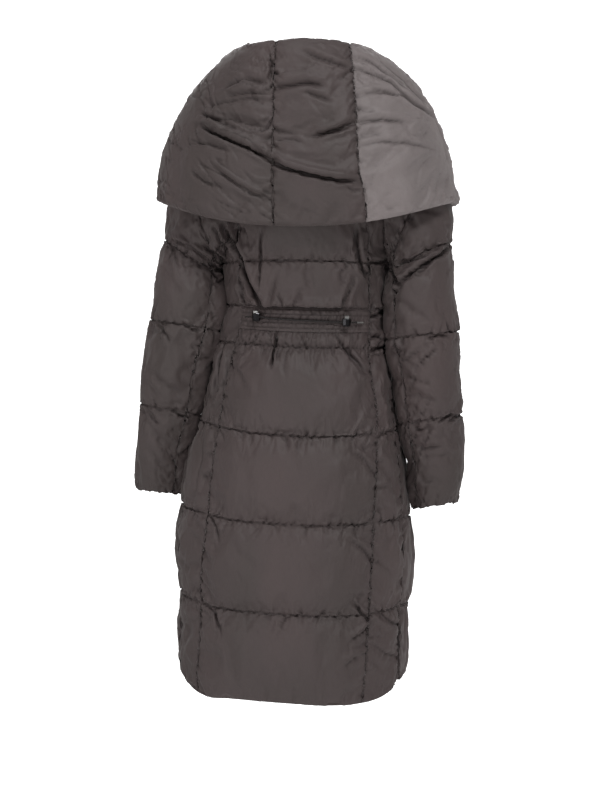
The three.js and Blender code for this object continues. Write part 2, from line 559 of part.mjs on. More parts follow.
// ---------------------------------------------------------------- drawcord and its two locks
// The cord lies on the casing, from a bar tack on the wearer's left to a short tipped end on the right.
const CORD_LINE = table(['x', 'q', 'lift'], [
  [79, -366, 0], [69, -365.5, 1.6], [59, -365.5, 5], [48, -366, 1.6], [36, -366.5, 0], [18, -367, 0], [0, -367.5, 0],
  [-20, -368, 0], [-40, -368.5, 0], [-54, -369, 0.4], [-63, -369.5, 2], [-74, -370, 5], [-84, -370, 2.6], [-90, -370, 1.6],
]);
const cordPoint = (x) => {
  const q = read([...CORD_LINE].reverse(), 'x', 'q', x), lift = read([...CORD_LINE].reverse(), 'x', 'lift', x);
  const at = bodyAt(angleOf(station(BODY_TABLE, q), x), q);
  return at.p.clone().addScaledVector(at.normal, SEAM_THICK + 1.6 + CORD_CLEAR + CORD_RADIUS + lift * (LOCK_LIFT - 1.2) / 5);
};

// Locks stand upright on the cord. turn is the cord's heading seen from above.
const LOCKS = table(['name', 'x'], [['lock_left', 59], ['lock_right', -74]]).map((lock) => {
  const p = cordPoint(lock.x), ahead = cordPoint(lock.x - 2).sub(cordPoint(lock.x + 2));
  return { ...lock, p, turn: Math.atan2(ahead.y, ahead.x) };
});
// Inside a lock the cord runs straight along the lock's bore
const cordPath = [];
for (let x = 79; x >= -90.5; x -= 5.6) {
  const near = LOCKS.find((lock) => Math.abs(lock.x - x) < 9);
  if (near) continue;
  cordPath.push(cordPoint(x));
}
for (const lock of LOCKS) {
  const dir = new THREE.Vector3(Math.cos(lock.turn), Math.sin(lock.turn), 0);
  for (const d of [-8.4, 0, 8.4]) cordPath.push(lock.p.clone().addScaledVector(dir, d));
}
cordPath.sort((a, b) => b.x - a.x);

const wasm = await Module();
wasm.setup();
function toManifold(geometry) {
  const bare = geometry.index ? geometry.clone() : geometry.clone();
  bare.deleteAttribute('normal');
  if (bare.attributes.uv) bare.deleteAttribute('uv');
  const merged = mergeVertices(bare, 1e-4);
  return new wasm.Manifold(new wasm.Mesh({
    numProp: 3,
    vertProperties: new Float32Array(merged.attributes.position.array),
    triVerts: new Uint32Array(merged.index.array),
  }));
}
function fromManifold(solid) {
  const mesh = solid.getMesh();
  const geometry = new THREE.BufferGeometry();
  geometry.setAttribute('position', new THREE.Float32BufferAttribute(Array.from(mesh.vertProperties), 3));
  geometry.setIndex(Array.from(mesh.triVerts));
  return geometry;
}

const cordSection = new THREE.Shape(Array.from({ length: 8 }, (_, k) => {
  const a = (k + 0.5) * Math.PI / 4;
  return new THREE.Vector2(CORD_RADIUS * Math.cos(a), CORD_RADIUS * Math.sin(a));
}));
const cordCurve = new THREE.CatmullRomCurve3(cordPath, false, 'centripetal');
const cordGeometry = new THREE.ExtrudeGeometry(cordSection, { steps: 44, bevelEnabled: false, extrudePath: cordCurve });
addMesh('drawcord', 'drawcord', cordGeometry, CORD_LOOK);

// Metal tip on the cord's free end
const tipDir = cordCurve.getTangent(1);
const tipStart = cordCurve.getPoint(1).addScaledVector(tipDir, 0.35);
const TIP_LENGTH = 13;
const tip = new THREE.LatheGeometry([[0, 0], [1.7, 0], [1.7, 3.4], [1.35, 4.2], [1.35, 9.6], [1.7, 10.4], [1.5, 12.4], [0, 13]].map(([r, y]) => new THREE.Vector2(r, y)), 10);
const tipMesh = addMesh('drawcord', 'cord_tip', tip, METAL_BRIGHT);
tipMesh.quaternion.setFromUnitVectors(new THREE.Vector3(0, 1, 0), tipDir.clone().normalize());
tipMesh.position.copy(tipStart);

// A lock: a faceted bell with a slot for the plunger and a hole for the cord
function lockBody() {
  const bell = new THREE.LatheGeometry([[0, -6.5], [5.2, -6.5], [6.6, -4.6], [7.2, 1.0], [7.5, 4.6], [6.7, 6.0], [0, 6.0]].map(([r, y]) => new THREE.Vector2(r, y)), 8);
  bell.rotateY(Math.PI / 8);
  bell.rotateX(Math.PI / 2);
  bell.scale(1, 0.72, 1);
  const slot = new THREE.BoxGeometry(7.6, 5.9, 20);
  slot.translate(0, 0, -5.3 + 10);
  const hole = new THREE.CylinderGeometry(1.85, 1.85, 24, 12);
  hole.rotateZ(Math.PI / 2);
  return fromManifold(toManifold(bell).subtract(toManifold(slot)).subtract(toManifold(hole)));
}
// The plunger slides down its slot by LOCK_TRAVEL; its own hole is longer than the cord by that much
function lockPlunger() {
  const w = 2.65, low = -2.5, top = 10.5;
  const side = new THREE.Shape();
  side.moveTo(-w, low); side.lineTo(w, low); side.lineTo(w, top - 1.2); side.lineTo(w - 1.2, top); side.lineTo(-w + 1.2, top); side.lineTo(-w, top - 1.2);
  side.closePath();
  const eye = new THREE.Path();
  const e = 1.65;
  eye.moveTo(-e, -1.65); eye.lineTo(-e, 1.65 + LOCK_TRAVEL); eye.lineTo(e, 1.65 + LOCK_TRAVEL); eye.lineTo(e, -1.65);
  eye.closePath();
  side.holes.push(eye);
  const g = new THREE.ExtrudeGeometry(side, { depth: 6.8, bevelEnabled: false });
  g.translate(0, 0, -3.4);
  // the profile's own x, y become depth and height, its extrusion runs along the cord
  g.applyMatrix4(new THREE.Matrix4().makeBasis(new THREE.Vector3(0, 1, 0), new THREE.Vector3(0, 0, 1), new THREE.Vector3(1, 0, 0)));
  return g;
}
for (const lock of LOCKS) {
  const holder = new THREE.Group();
  holder.name = lock.name;
  holder.position.copy(lock.p);
  holder.rotation.z = lock.turn;
  groups.drawcord.add(holder);
  const bodyMesh = new THREE.Mesh(lockBody(), new THREE.MeshStandardMaterial(METAL));
  bodyMesh.name = `${lock.name}_body`;
  const plungerMesh = new THREE.Mesh(lockPlunger(), new THREE.MeshStandardMaterial(METAL_BRIGHT));
  plungerMesh.name = `${lock.name}_plunger`;
  holder.add(bodyMesh, plungerMesh);
}

export default coat;
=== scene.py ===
import bpy
import math
import numpy as np
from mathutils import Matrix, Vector


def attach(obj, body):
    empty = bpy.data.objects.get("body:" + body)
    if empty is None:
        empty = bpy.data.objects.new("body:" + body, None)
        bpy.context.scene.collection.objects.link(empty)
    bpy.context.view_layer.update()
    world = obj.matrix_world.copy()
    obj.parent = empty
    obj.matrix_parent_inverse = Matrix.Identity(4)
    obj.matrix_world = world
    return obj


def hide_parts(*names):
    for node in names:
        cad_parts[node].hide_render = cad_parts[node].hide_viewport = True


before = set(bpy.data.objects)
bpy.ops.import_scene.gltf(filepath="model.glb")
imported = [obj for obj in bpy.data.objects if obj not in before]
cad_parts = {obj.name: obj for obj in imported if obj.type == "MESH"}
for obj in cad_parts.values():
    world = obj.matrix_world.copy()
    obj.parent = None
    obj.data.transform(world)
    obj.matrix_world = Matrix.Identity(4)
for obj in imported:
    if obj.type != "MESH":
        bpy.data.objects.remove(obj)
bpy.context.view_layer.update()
MM = 0.001
STEP = 5.6            # mm, simulated grid of the shell
GAP = 0.34            # mm between pieces at a seam
SEAM = 5.0            # mm, wall where it is stitched
PLACKET_HALF = 27.0

scene = bpy.context.scene

# ------------------------------------------------------------------ camera
DIST = 3.5            # m
FOCAL_PX = 2134.0
AZ = math.radians(188.0)
target = Vector((0.008, 0.0, -0.494))
cam_data = bpy.data.cameras.new("camera")
cam_data.sensor_fit = "VERTICAL"
cam_data.sensor_height = 24.0
cam_data.lens = 24.0 * FOCAL_PX / 800.0
cam_data.clip_end = 60.0
cam = bpy.data.objects.new("camera", cam_data)
scene.collection.objects.link(cam)
cam.location = target + DIST * Vector((math.sin(AZ), -math.cos(AZ), 0.0))
cam.rotation_euler = (math.radians(90.0), 0.0, AZ)
scene.camera = cam


def photo_mm(px, py, depth):
    """Across and up, in mm, of a spot in the 600 x 800 frame that lies at a depth behind the coat's middle."""
    s = (3500.0 - depth) / FOCAL_PX
    return 8.0 - ((px - 300.0) * s + 0.139 * depth) / 0.99, -494.0 + (400.0 - py) * s


# ------------------------------------------------------------------ tables of the coat's form
def spline(x, y):
    x, y = np.asarray(x, float), np.asarray(y, float)
    if x[0] > x[-1]:
        x, y = x[::-1], y[::-1]
    s = np.diff(y) / np.diff(x)
    m = np.empty_like(y)
    m[0], m[-1] = s[0], s[-1]
    a, b = s[:-1], s[1:]
    both = a * b > 0
    m[1:-1] = np.where(both, 2 * a * b / np.where(both, a + b, 1.0), 0.0)

    def at(v):
        v = np.clip(np.asarray(v, float), x[0], x[-1])
        k = np.clip(np.searchsorted(x, v, side="right") - 1, 0, len(x) - 2)
        w = x[k + 1] - x[k]
        t = (v - x[k]) / w
        t2, t3 = t * t, t * t * t
        return ((2 * t3 - 3 * t2 + 1) * y[k] + (t3 - 2 * t2 + t) * w * m[k]
                + (-2 * t3 + 3 * t2) * y[k + 1] + (t3 - t2) * w * m[k + 1])

    return at


def columns(names, rows, key):
    data = np.array(rows, float)
    i = names.index(key)
    return {n: spline(data[:, i], data[:, k]) for k, n in enumerate(names) if n != key}


RING = ["q", "zb", "zs", "zf", "cx", "half", "back", "front", "n", "lean"]
BODY = columns(RING + ["flat"], [
    (-971, -971, -925, -962, 18, 174, 138, -128, 2.40, 0.055, 2.2),
    (-904, -904, -876, -898, 18, 176, 141, -130, 2.40, 0.055, 1.9),
    (-831, -831, -813, -826, 17, 179, 143, -131, 2.40, 0.055, 1.3),
    (-756, -756, -739, -752, 16, 182, 144, -131, 2.40, 0.055, 1.1),
    (-690, -690, -673, -686, 15, 179, 143, -130, 2.35, 0.055, 1),
    (-620, -620, -604, -616, 12, 170, 140, -127, 2.30, 0.055, 1),
    (-551, -551, -535, -548, 8, 157, 133, -123, 2.30, 0.055, 1),
    (-480, -480, -468, -478, 4, 144, 120, -117, 2.25, 0.050, 1),
    (-411, -411, -404, -410, 1, 134.5, 106, -112, 2.20, 0.045, 1),
    (-386, -386, -380, -386, 0, 129.5, 101, -110, 2.20, 0.040, 1),
    (-346, -346, -343, -346, -2, 125, 100, -111, 2.20, 0.035, 1),
    (-310, -310, -308, -310, -4, 125, 104, -115, 2.20, 0.028, 1),
    (-272, -272, -272, -272, -5, 130, 109, -120, 2.25, 0.020, 1),
    (-238, -238, -238, -238, -6, 137, 113, -123, 2.28, 0.014, 1),
    (-204, -204, -204, -204, -6, 143, 114, -124, 2.30, 0.010, 1),
    (-135, -135, -135, -135, -6, 148, 112, -122, 2.35, 0.0, 1),
    (-100, -104, -98, -106, -6, 151, 107, -115, 2.40, 0.0, 1),
    (-65, -73, -60, -79, -6, 155, 98, -104, 2.40, 0.0, 1),
    (-30, -40, -22, -54, -6, 160, 82, -86, 2.40, 0.0, 1),
    (5, 2, 6, -34, -6, 112, 71, -71, 2.30, 0.0, 1),
    (40, 44, 32, -20, -6, 72, 62, -60, 2.20, 0.0, 1),
], "q")
# stitched levels with the loft of the baffle above each, on the sides and front, and on the back
QUILTS = [(-971, 7, 8), (-831, 8, 8.5), (-690, 8, 8.5), (-551, 8, 8.5), (-411, 5, 4), (-346, 6, 6.5),
          (-272, 6.5, 6.5), (-135, 4, 4), (-30, 3, 3), (40, 0, 0)]
SEAMS = columns(["q", "pl", "pr", "side", "abl", "abr", "af"], [
    (-971, 147, -104, 72, 0, 0, 0),
    (-831, 149, -114, 73, 0, 0, 0),
    (-690, 137, -121, 75, 0, 0, 0),
    (-551, 122, -124, 78, 0, 0, 0),
    (-411, 98, -109, 84, 0, 0, 0),
    (-346, 85, -109, 87, 0, 0, 0),
    (-272, 90, -109, 90, 0, 0, 0),
    (-255, 90, -109, 90, 23, 18, 20),
    (-238, 90, -110, 90, 33, 25, 30),
    (-204, 90, -108, 90, 39, 30, 38),
    (-169, 86, -102, 90, 40, 33, 40),
    (-135, 80, -94, 90, 39, 33, 39),
    (-100, 74, -87, 90, 35, 30, 35),
    (-65, 68, -80, 90, 26, 23, 27),
    (-30, 60, -72, 90, 0, 0, 0),
    (5, 44, -56, 90, 0, 0, 0),
    (40, 26, -38, 90, 0, 0, 0),
], "q")
COLLAR = columns(RING + ["thick"], [
    (0, -222, -172, -150, -5, 247, 166, -166, 2.30, 0.018, 10),
    (1, -150, -106, -98, -7.5, 239.5, 168, -161, 2.30, 0.010, 14),
    (2, -58, -23, -47, -7.5, 207, 158, -146, 2.30, 0.0, 12.5),
    (3, 34, 46, -4, -5, 150, 138, -116, 2.25, 0.0, 14),
    (4, 80, 72, 22, -5, 113, 107, -88, 2.20, 0.0, 13),
    (5, 64, 52, 4, -6, 86, 79, -72, 2.20, 0.0, 9),
    (6, 44.4, 32.4, -19.6, -6, 72, 62, -60, 2.20, 0.0, 5),
], "q")
COLLAR_SEAMS = columns(["q", "left", "right", "end"], [
    (0, 28, -119, 15), (1, 29, -116, 11), (2, 30, -108, 8), (3, 32, -97, 6), (4, 32, -86, 5),
    (5, 27, -66, 5), (6, 23, -52, 5),
], "q")
SLEEVE_NAMES = ["s", "zo", "zi", "x", "y", "rx", "ry"]
SLEEVES = {
    1: columns(SLEEVE_NAMES, [
        (1.0, -232, -290, 182, 12, 41, 56),
        (1.5, -298, -333, 186, 24, 43.5, 55),
        (2.0, -363, -379, 195, 27, 49, 51),
        (2.5, -431, -446, 211.5, 24, 41.5, 49),
        (3.0, -499, -514, 224, 15, 42, 46),
        (3.5, -570, -581, 239.5, -4, 33.5, 43),
        (4.0, -641, -648, 246.5, -25, 33.5, 40),
    ], "s"),
    -1: columns(SLEEVE_NAMES, [
        (1.0, -240, -290, -192, 14, 43, 56),
        (1.5, -312, -341, -193, 25, 41, 55),
        (2.0, -384, -396, -197, 24, 49, 51),
        (2.5, -451, -464, -204, 20, 39, 49),
        (3.0, -517, -531, -210.5, 12, 41.5, 46),
        (3.5, -588, -600, -214.5, -2, 32.5, 43),
        (4.0, -659, -670, -213.5, -19, 29.5, 40),
    ], "s"),
}
SLEEVE_QUILTS = [(0, 1.5), (0.5, 4), (1, 6.5), (2, 6.5), (3, 5.5), (4, 0)]
SLEEVE_SEAM_FRONT, SLEEVE_SEAM_BACK = 5.0, 10.0
ARM_ROWS = np.array([-30, -65, -100, -135, -169, -204, -238, -255, -272], float)


# ------------------------------------------------------------------ surfaces
def smooth(t):
    t = np.clip(t, 0.0, 1.0)
    return t * t * (3 - 2 * t)


def spow(v, p):
    return np.sign(v) * np.abs(v) ** p


def ring(tab, th, q):
    s, c = np.sin(th), np.cos(th)
    n = tab["n"](q)
    across = tab["half"](q) * spow(s, 2 / n)
    depth = np.where(c >= 0, tab["back"](q), -tab["front"](q)) * spow(c, 2 / n)
    zs = tab["zs"](q)
    level = 1 - (s * s) ** (tab["flat"](q) if "flat" in tab else 1.0)
    z = zs + (np.where(c >= 0, tab["zb"](q), tab["zf"](q)) - zs) * level + tab["lean"](q) * across
    return np.stack([tab["cx"](q) + across, depth, z], -1)


def angle_of(tab, q, x):
    cx, half, n = tab["cx"](q), tab["half"](q), tab["n"](q)
    r = np.clip(np.abs(x - cx) / half, 0, 1)
    return np.sign(x - cx) * np.arcsin(r ** (n / 2))


def unit(v):
    return v / np.maximum(np.linalg.norm(v, axis=-1, keepdims=True), 1e-9)


def surface(tab, th, q, dq, lo, hi):
    th, q = np.broadcast_arrays(th, q)
    qa, qb = np.maximum(lo, q - dq), np.minimum(hi, q + dq)
    p = ring(tab, th, q)
    along = ring(tab, th, qb) - ring(tab, th, qa)
    around = ring(tab, th + 0.012, q) - ring(tab, th - 0.012, q)
    return p, unit(np.cross(along, around)), np.linalg.norm(around, axis=-1) / 0.024, np.linalg.norm(along, axis=-1) / (qb - qa)


def body_at(th, q):
    return surface(BODY, th, q, 4.0, -971.0, 40.0)


def princess(side, q):
    return angle_of(BODY, q, SEAMS["pl" if side > 0 else "pr"](q))


def in_arm(q):
    return (q > -272) & (q < -30)


def back_edge(side, q):
    return side * np.radians(SEAMS["side"](q) - np.where(in_arm(q), SEAMS["abl" if side > 0 else "abr"](q), 0))


def front_edge(side, q):
    return side * np.radians(SEAMS["side"](q) + np.where(in_arm(q), SEAMS["af"](q), 0))


def puff(levels, at, col=1, power=0.6):
    out = np.zeros_like(at)
    for lower, upper in zip(levels, levels[1:]):
        inside = (at >= lower[0]) & (at <= upper[0])
        t = np.clip((at - lower[0]) / (upper[0] - lower[0]), 0, 1)
        out = np.where(inside, lower[col] * np.sin(np.pi * t) ** power, out)
    return out


def pinch(th, q, per):
    near = np.full(np.broadcast(th, q).shape, 1e9)
    for side in (1, -1):
        for line in (princess(side, q), back_edge(side, q), front_edge(side, q), np.full_like(q, side * np.pi)):
            near = np.minimum(near, np.abs(th - line) * per)
    return near


def body_thick(th, q, per):
    near = pinch(th, q, per)
    floor = 0.30
    draw = floor + (1 - floor) * np.sqrt(smooth(near / 24.0))
    on_back = (th <= princess(1, q) + 1e-6) & (th >= princess(-1, q) - 1e-6)
    side_loft = puff(QUILTS, q, 1)
    back_loft = puff(QUILTS, q, 2)
    flat = np.where((q <= -346) & (q >= -386), 0.6, np.where((q < -386) & (q > -411), 3.4 * np.abs(np.sin(np.pi * (q + 411) / 25.0)) ** 0.7, back_loft))
    to_edge = np.minimum(1.0, np.minimum(np.abs(th - princess(1, q)), np.abs(th - princess(-1, q))) * per / 16.0)
    loft = np.where(on_back, side_loft + (flat - side_loft) * to_edge, side_loft)
    return SEAM + loft * draw


# ------------------------------------------------------------------ even noise, the same each run
_rng = np.random.default_rng(7)
_PERM = _rng.permutation(512)
_GRAD = _rng.normal(size=(512, 2))
_GRAD /= np.linalg.norm(_GRAD, axis=1, keepdims=True)


def noise2(x, y, seed=0):
    x, y = np.asarray(x, float) + seed * 17.31, np.asarray(y, float) + seed * 5.77
    xi, yi = np.floor(x).astype(int), np.floor(y).astype(int)
    xf, yf = x - xi, y - yi
    u, v = xf ** 3 * (xf * (xf * 6 - 15) + 10), yf ** 3 * (yf * (yf * 6 - 15) + 10)

    def g(dx, dy):
        h = _PERM[(_PERM[(xi + dx) % 512] + yi + dy) % 512]
        return _GRAD[h, 0] * (xf - dx) + _GRAD[h, 1] * (yf - dy)

    a = g(0, 0) * (1 - u) + g(1, 0) * u
    b = g(0, 1) * (1 - u) + g(1, 1) * u
    return (a * (1 - v) + b * v) * 1.5


def ridged(x, y, seed=0):
    return 1.0 - np.abs(noise2(x, y, seed)) * 2.0


def rows_between(levels, step, free_low=False, free_high=False, scale=1.0):
    """Rows that hit every stitched level, about step apart, with close rows at a free edge."""
    out = []
    for a, b in zip(levels, levels[1:]):
        n = max(2, int(round(abs(b - a) * scale / step)))
        w = np.arange(n) / n
        out.extend(a + (b - a) * (w - 0.5 * np.sin(2 * np.pi * w) / (2 * np.pi)))
    out.append(levels[-1])
    out = list(out)
    if free_low:
        out[1:1] = [levels[0] + 0.9 / scale]
    if free_high:
        out[-1:-1] = [levels[-1] - 0.9 / scale]
    return np.array(out)


def shares(n, width):
    """Even shares from 0 to 1 with closer ones beside both ends."""
    t = np.linspace(0, 1, n + 1)
    near = np.array([1.3, 3.2]) / width
    return np.concatenate([[0.0], near, t[1:-1], 1 - near[::-1], [1.0]])[None, :]


def upsample(g, axis):
    """Twice as many steps along an axis, on a smooth curve through the same points."""
    g = np.moveaxis(g, axis, 0)
    first, last = 2 * g[0] - g[1], 2 * g[-1] - g[-2]
    p = np.concatenate([first[None], g, last[None]])
    mid = (-p[:-3] + 9 * p[1:-2] + 9 * p[2:-1] - p[3:]) / 16
    out = np.empty((2 * len(g) - 1,) + g.shape[1:])
    out[0::2] = g
    out[1::2] = mid
    return np.moveaxis(out, 0, axis)


# ------------------------------------------------------------------ pieces
class Patch:
    """One panel: a grid of lining points, normals and wall, rows along v, columns along u."""

    def __init__(self, name, base, normal, thick, pin, across, along, free=()):
        self.name, self.base, self.normal, self.thick = name, base, normal, thick
        self.pin, self.across, self.along, self.free = pin, across, along, free
        self.shell = base + normal * thick[..., None]


PATCHES = []


def levels_in(lo, hi, extra=()):
    keys = [k[0] for k in QUILTS] + list(extra)
    return sorted({float(lo), float(hi)} | {float(k) for k in keys if lo < k < hi})


def body_patch(name, lo, hi, edge_a, edge_b, open_b=None, open_a=None, levels=None, seed=1, step=STEP):
    levels = levels or levels_in(lo, hi)
    free_low = lo == -971
    q = rows_between(levels, step, free_low=free_low)[:, None]
    a0, b0 = edge_a(q), edge_b(q)
    per_a, per_b = body_at(a0, q)[2], body_at(b0, q)[2]
    s = np.sign(np.mean(b0 - a0))
    a = a0 + s * (GAP / 2 + (open_a(q) if open_a else 0)) / per_a
    b = b0 - s * (GAP / 2 + (open_b(q) if open_b else 0)) / per_b
    width = np.max(np.abs(b - a) * body_at((a + b) / 2, q)[2])
    nu = max(4, int(round(width / step)))
    t = shares(nu, width)
    th = a + (b - a) * t
    qq = np.broadcast_to(q, th.shape).copy()
    p, n, per, perq = body_at(th, qq)
    shift = np.zeros_like(qq)
    if lo > -971:
        shift[0] = GAP / 2
    if hi < 40:
        shift[-1] = -GAP / 2
    up = unit(np.cross(n, np.gradient(p, axis=1)))
    up = np.where((up[..., 2:3] < 0), -up, up)
    p = p + up * shift[..., None]
    thick = body_thick(th, qq, per)
    pin = np.zeros(th.shape)
    for k in levels:
        pin[np.isclose(qq, k)] = 1.0
    pin[:, 0] = pin[:, -1] = pin[0] = pin[-1] = 1.0
    along = qq * 1.0
    across = th * per
    patch = Patch(name, p, n, thick, pin, across, along, free=("low",) if free_low else ())
    patch.th, patch.q, patch.levels = th, qq, levels
    PATCHES.append(patch)
    return patch


def vent(q):
    t = np.clip((-838 - q) / (971 - 838), 0, 1)
    corner = np.clip((-971 + 34 - q) / 34, 0, 1)
    return np.where(q >= -838, 0.0, 1.2 + 5.5 * t + 6 * corner ** 2)


LEFT, RIGHT = 1, -1
WORDS = {1: "left", -1: "right"}
body_patch("back_upper", -346, 40, lambda q: princess(RIGHT, q), lambda q: princess(LEFT, q), seed=11)
body_patch("waist_casing", -386, -346, lambda q: princess(RIGHT, q), lambda q: princess(LEFT, q), seed=12, step=2.6)
body_patch("back_lower", -971, -386, lambda q: princess(RIGHT, q), lambda q: princess(LEFT, q), seed=13)
for side in (LEFT, RIGHT):
    body_patch(f"side_back_{WORDS[side]}", -971, 40, lambda q, s=side: princess(s, q), lambda q, s=side: back_edge(s, q), open_b=vent, seed=14 + side)
    body_patch(f"front_{WORDS[side]}", -971, 40, lambda q, s=side: front_edge(s, q), lambda q, s=side: np.full_like(q, s * np.pi), open_a=vent, seed=17 + side)


# fly: a narrow strip lying on both fronts
def fly_patch():
    q = rows_between([-971.0, -831, -690, -551, -411, -346, -272, -135, -30, 28], STEP, free_low=True, free_high=True)[:, None]
    half, n = BODY["half"](q), BODY["n"](q)
    end = np.pi - np.arcsin((PLACKET_HALF / half) ** (n / 2))
    t = np.linspace(-1, 1, 15)[None, :]
    th = np.pi + (np.pi - end) * t
    qq = np.broadcast_to(q, th.shape).copy()
    p, nrm, per, _ = body_at(th, qq)
    near = np.abs(np.abs(t) * np.ones_like(th) * (np.pi - end) * per)
    draw = 0.30 + 0.70 * np.sqrt(smooth(near / 24.0))
    base_lift = SEAM + puff(QUILTS, qq, 1) * draw + 1.0
    edge = np.sqrt(np.clip(1 - (np.abs(t)) ** 8, 0, 1)) * np.ones_like(th)
    thick = 0.6 + 2.6 * edge
    patch = Patch("front_fly", p + nrm * base_lift[..., None], nrm, thick, np.ones(th.shape), th * per, qq)
    patch.th, patch.q, patch.levels = th, qq, []
    patch.still = True
    PATCHES.append(patch)


fly_patch()


# ------------------------------------------------------------------ sleeves
def arm_loop(side, a):
    turn = np.mod(a, 16.0)
    half = np.where(turn <= 8, turn, 16 - turn)
    k = np.minimum(7, np.floor(half)).astype(int)
    t = half - k
    q = ARM_ROWS[k] + (ARM_ROWS[k + 1] - ARM_ROWS[k]) * t
    fa, fb = front_edge(side, ARM_ROWS[k]), front_edge(side, ARM_ROWS[k + 1])
    ba, bb = back_edge(side, ARM_ROWS[k]), back_edge(side, ARM_ROWS[k + 1])
    ta, tb = np.where(turn <= 8, fa, ba), np.where(turn <= 8, fb, bb)
    return ta + (tb - ta) * t, q, half


def shell_point(th, q, clear, half):
    p, n, per, perq = body_at(th, q)
    lift = clear + 6.6 * smooth(1 - half / 2.7)
    return p + n * (body_thick(th, q, per) + lift)[..., None], n, per, perq


def tube(tab, side, a, s):
    turn = a * np.pi / 8
    zo, zi = tab["zo"](s), tab["zi"](s)
    return np.stack([tab["x"](s) + side * tab["rx"](s) * np.cos(turn), tab["y"](s) - tab["ry"](s) * np.sin(turn),
                     (zo + zi) / 2 + (zo - zi) / 2 * np.cos(turn)], -1)


def sleeve_centre(side, a, s):
    tab = SLEEVES[side]
    a, s = np.broadcast_arrays(a, s)
    th, q, half = arm_loop(side, a)
    m, n, _, _ = shell_point(th, q, 1.0, half)
    one = np.ones_like(s)
    p1 = tube(tab, side, a, one)
    reach = np.linalg.norm(m - p1, axis=-1)
    top = 0.5 + 0.5 * np.cos(a * np.pi / 8)
    out = unit(np.stack([side * one, 0 * one, -0.25 * top], -1)) * 0.6 + n * 0.4
    t0 = unit(out) * (reach * (0.42 + 0.42 * (1 - top)))[..., None]
    t1 = unit(tube(tab, side, a, one * 1.12) - p1) * (reach * (0.55 + 0.35 * top))[..., None]
    c = np.clip(s, 0, 1)[..., None]
    c2, c3 = c * c, c * c * c
    cap = m * (2 * c3 - 3 * c2 + 1) + t0 * (c3 - 2 * c2 + c) + p1 * (-2 * c3 + 3 * c2) + t1 * (c3 - c2)
    return np.where((s < 1)[..., None], cap, tube(tab, side, a, np.maximum(s, 1.0)))


def sleeve_at(side, a, s):
    sa, sb = np.maximum(0, s - 0.05), np.minimum(4, s + 0.05)
    along = sleeve_centre(side, a, sb) - sleeve_centre(side, a, sa)
    around = sleeve_centre(side, a + 0.3, s) - sleeve_centre(side, a - 0.3, s)
    n = unit(np.cross(along, around)) * -side
    p = sleeve_centre(side, a, s)
    mid = sum(sleeve_centre(side, np.full_like(a, k), s) for k in (0.0, 4.0, 8.0, 12.0)) / 4
    flip = np.sum(n * (p - mid), -1) < 0
    n = np.where(flip[..., None], -n, n)
    return p, n, np.linalg.norm(around, axis=-1) / 0.6


def sleeve_patch(name, side, a_from, a_to, seed):
    rows = [rows_between([0, 0.5], STEP, scale=240.0), rows_between([0.5, 1.0], STEP, scale=240.0)]
    s = np.concatenate([rows[0][:-1], rows[1][:-1]] + [rows_between([float(k), k + 1.0], STEP, scale=136.0, free_high=(k == 3))[:-1 if k < 3 else None] for k in (1, 2, 3)])[:, None]
    nu = int(round((a_to - a_from) * 22.0 / STEP))
    t = shares(nu, (a_to - a_from) * 19.0)
    a = a_from + (a_to - a_from) * t * np.ones_like(s)
    ss = s * np.ones_like(a)
    _, _, per = sleeve_at(side, a, ss)
    a = a + (GAP / 2) / per * (np.where(t == 0, 1.0, 0.0) - np.where(t == 1, 1.0, 0.0))
    p, n, per = sleeve_at(side, a, ss)
    turn = np.mod(a, 16.0)
    near = np.minimum(np.abs(turn - SLEEVE_SEAM_FRONT), np.abs(turn - SLEEVE_SEAM_BACK)) * per
    draw = 0.30 + 0.70 * np.sqrt(smooth(near / 24.0))
    thick = SEAM + puff(SLEEVE_QUILTS, ss, 1) * draw
    pin = np.zeros(a.shape)
    for k in (0, 0.5, 1, 2, 3, 4):
        pin[np.isclose(ss, k)] = 1.0
    pin[:, 0] = pin[:, -1] = pin[0] = pin[-1] = 1.0
    patch = Patch(name, p, n, thick, pin, a * per, -ss * 136.0, free=("high",))
    # the mouth lies against the body
    th, q, half = arm_loop(side, a[0])
    hub_th, hub_q = side * np.radians(90), -150.0
    _, _, pt, pq = body_at(th, q)
    d_th, d_q = (th - hub_th) * pt, (q - hub_q) * pq
    length = np.hypot(d_th, d_q)
    outer = shell_point(th + d_th / length * 5.2 / pt, q + d_q / length * 5.2 / pq, 1.5, half)[0]
    patch.shell[0] = outer
    lean = np.exp(-((np.mod(a, 16.0) - 8.8) / 1.7) ** 2) * smooth((ss - 0.75) / 0.4) * smooth((4.2 - ss) / 0.5)
    patch.shell = patch.shell + patch.normal * (lean * (10.5 if side > 0 else 8.0))[..., None]
    patch.th, patch.q, patch.levels = a, -ss * 136.0, [-k * 136.0 for k in (0, 0.5, 1, 2, 3, 4)]
    patch.s = ss
    PATCHES.append(patch)
    return patch


for side in (LEFT, RIGHT):
    sleeve_patch(f"sleeve_{WORDS[side]}_upper", side, SLEEVE_SEAM_BACK, SLEEVE_SEAM_FRONT + 16, 21 + side)
    sleeve_patch(f"sleeve_{WORDS[side]}_under", side, SLEEVE_SEAM_FRONT, SLEEVE_SEAM_BACK, 24 + side)


# ------------------------------------------------------------------ collar
def collar_at(th, q):
    return surface(COLLAR, th, q, 0.08, 0.0, 6.0)


def collar_seam(side, q):
    return angle_of(COLLAR, q, COLLAR_SEAMS["left" if side > 0 else "right"](q))


def collar_end(side, q):
    return side * (np.pi - np.radians(COLLAR_SEAMS["end"](q)))


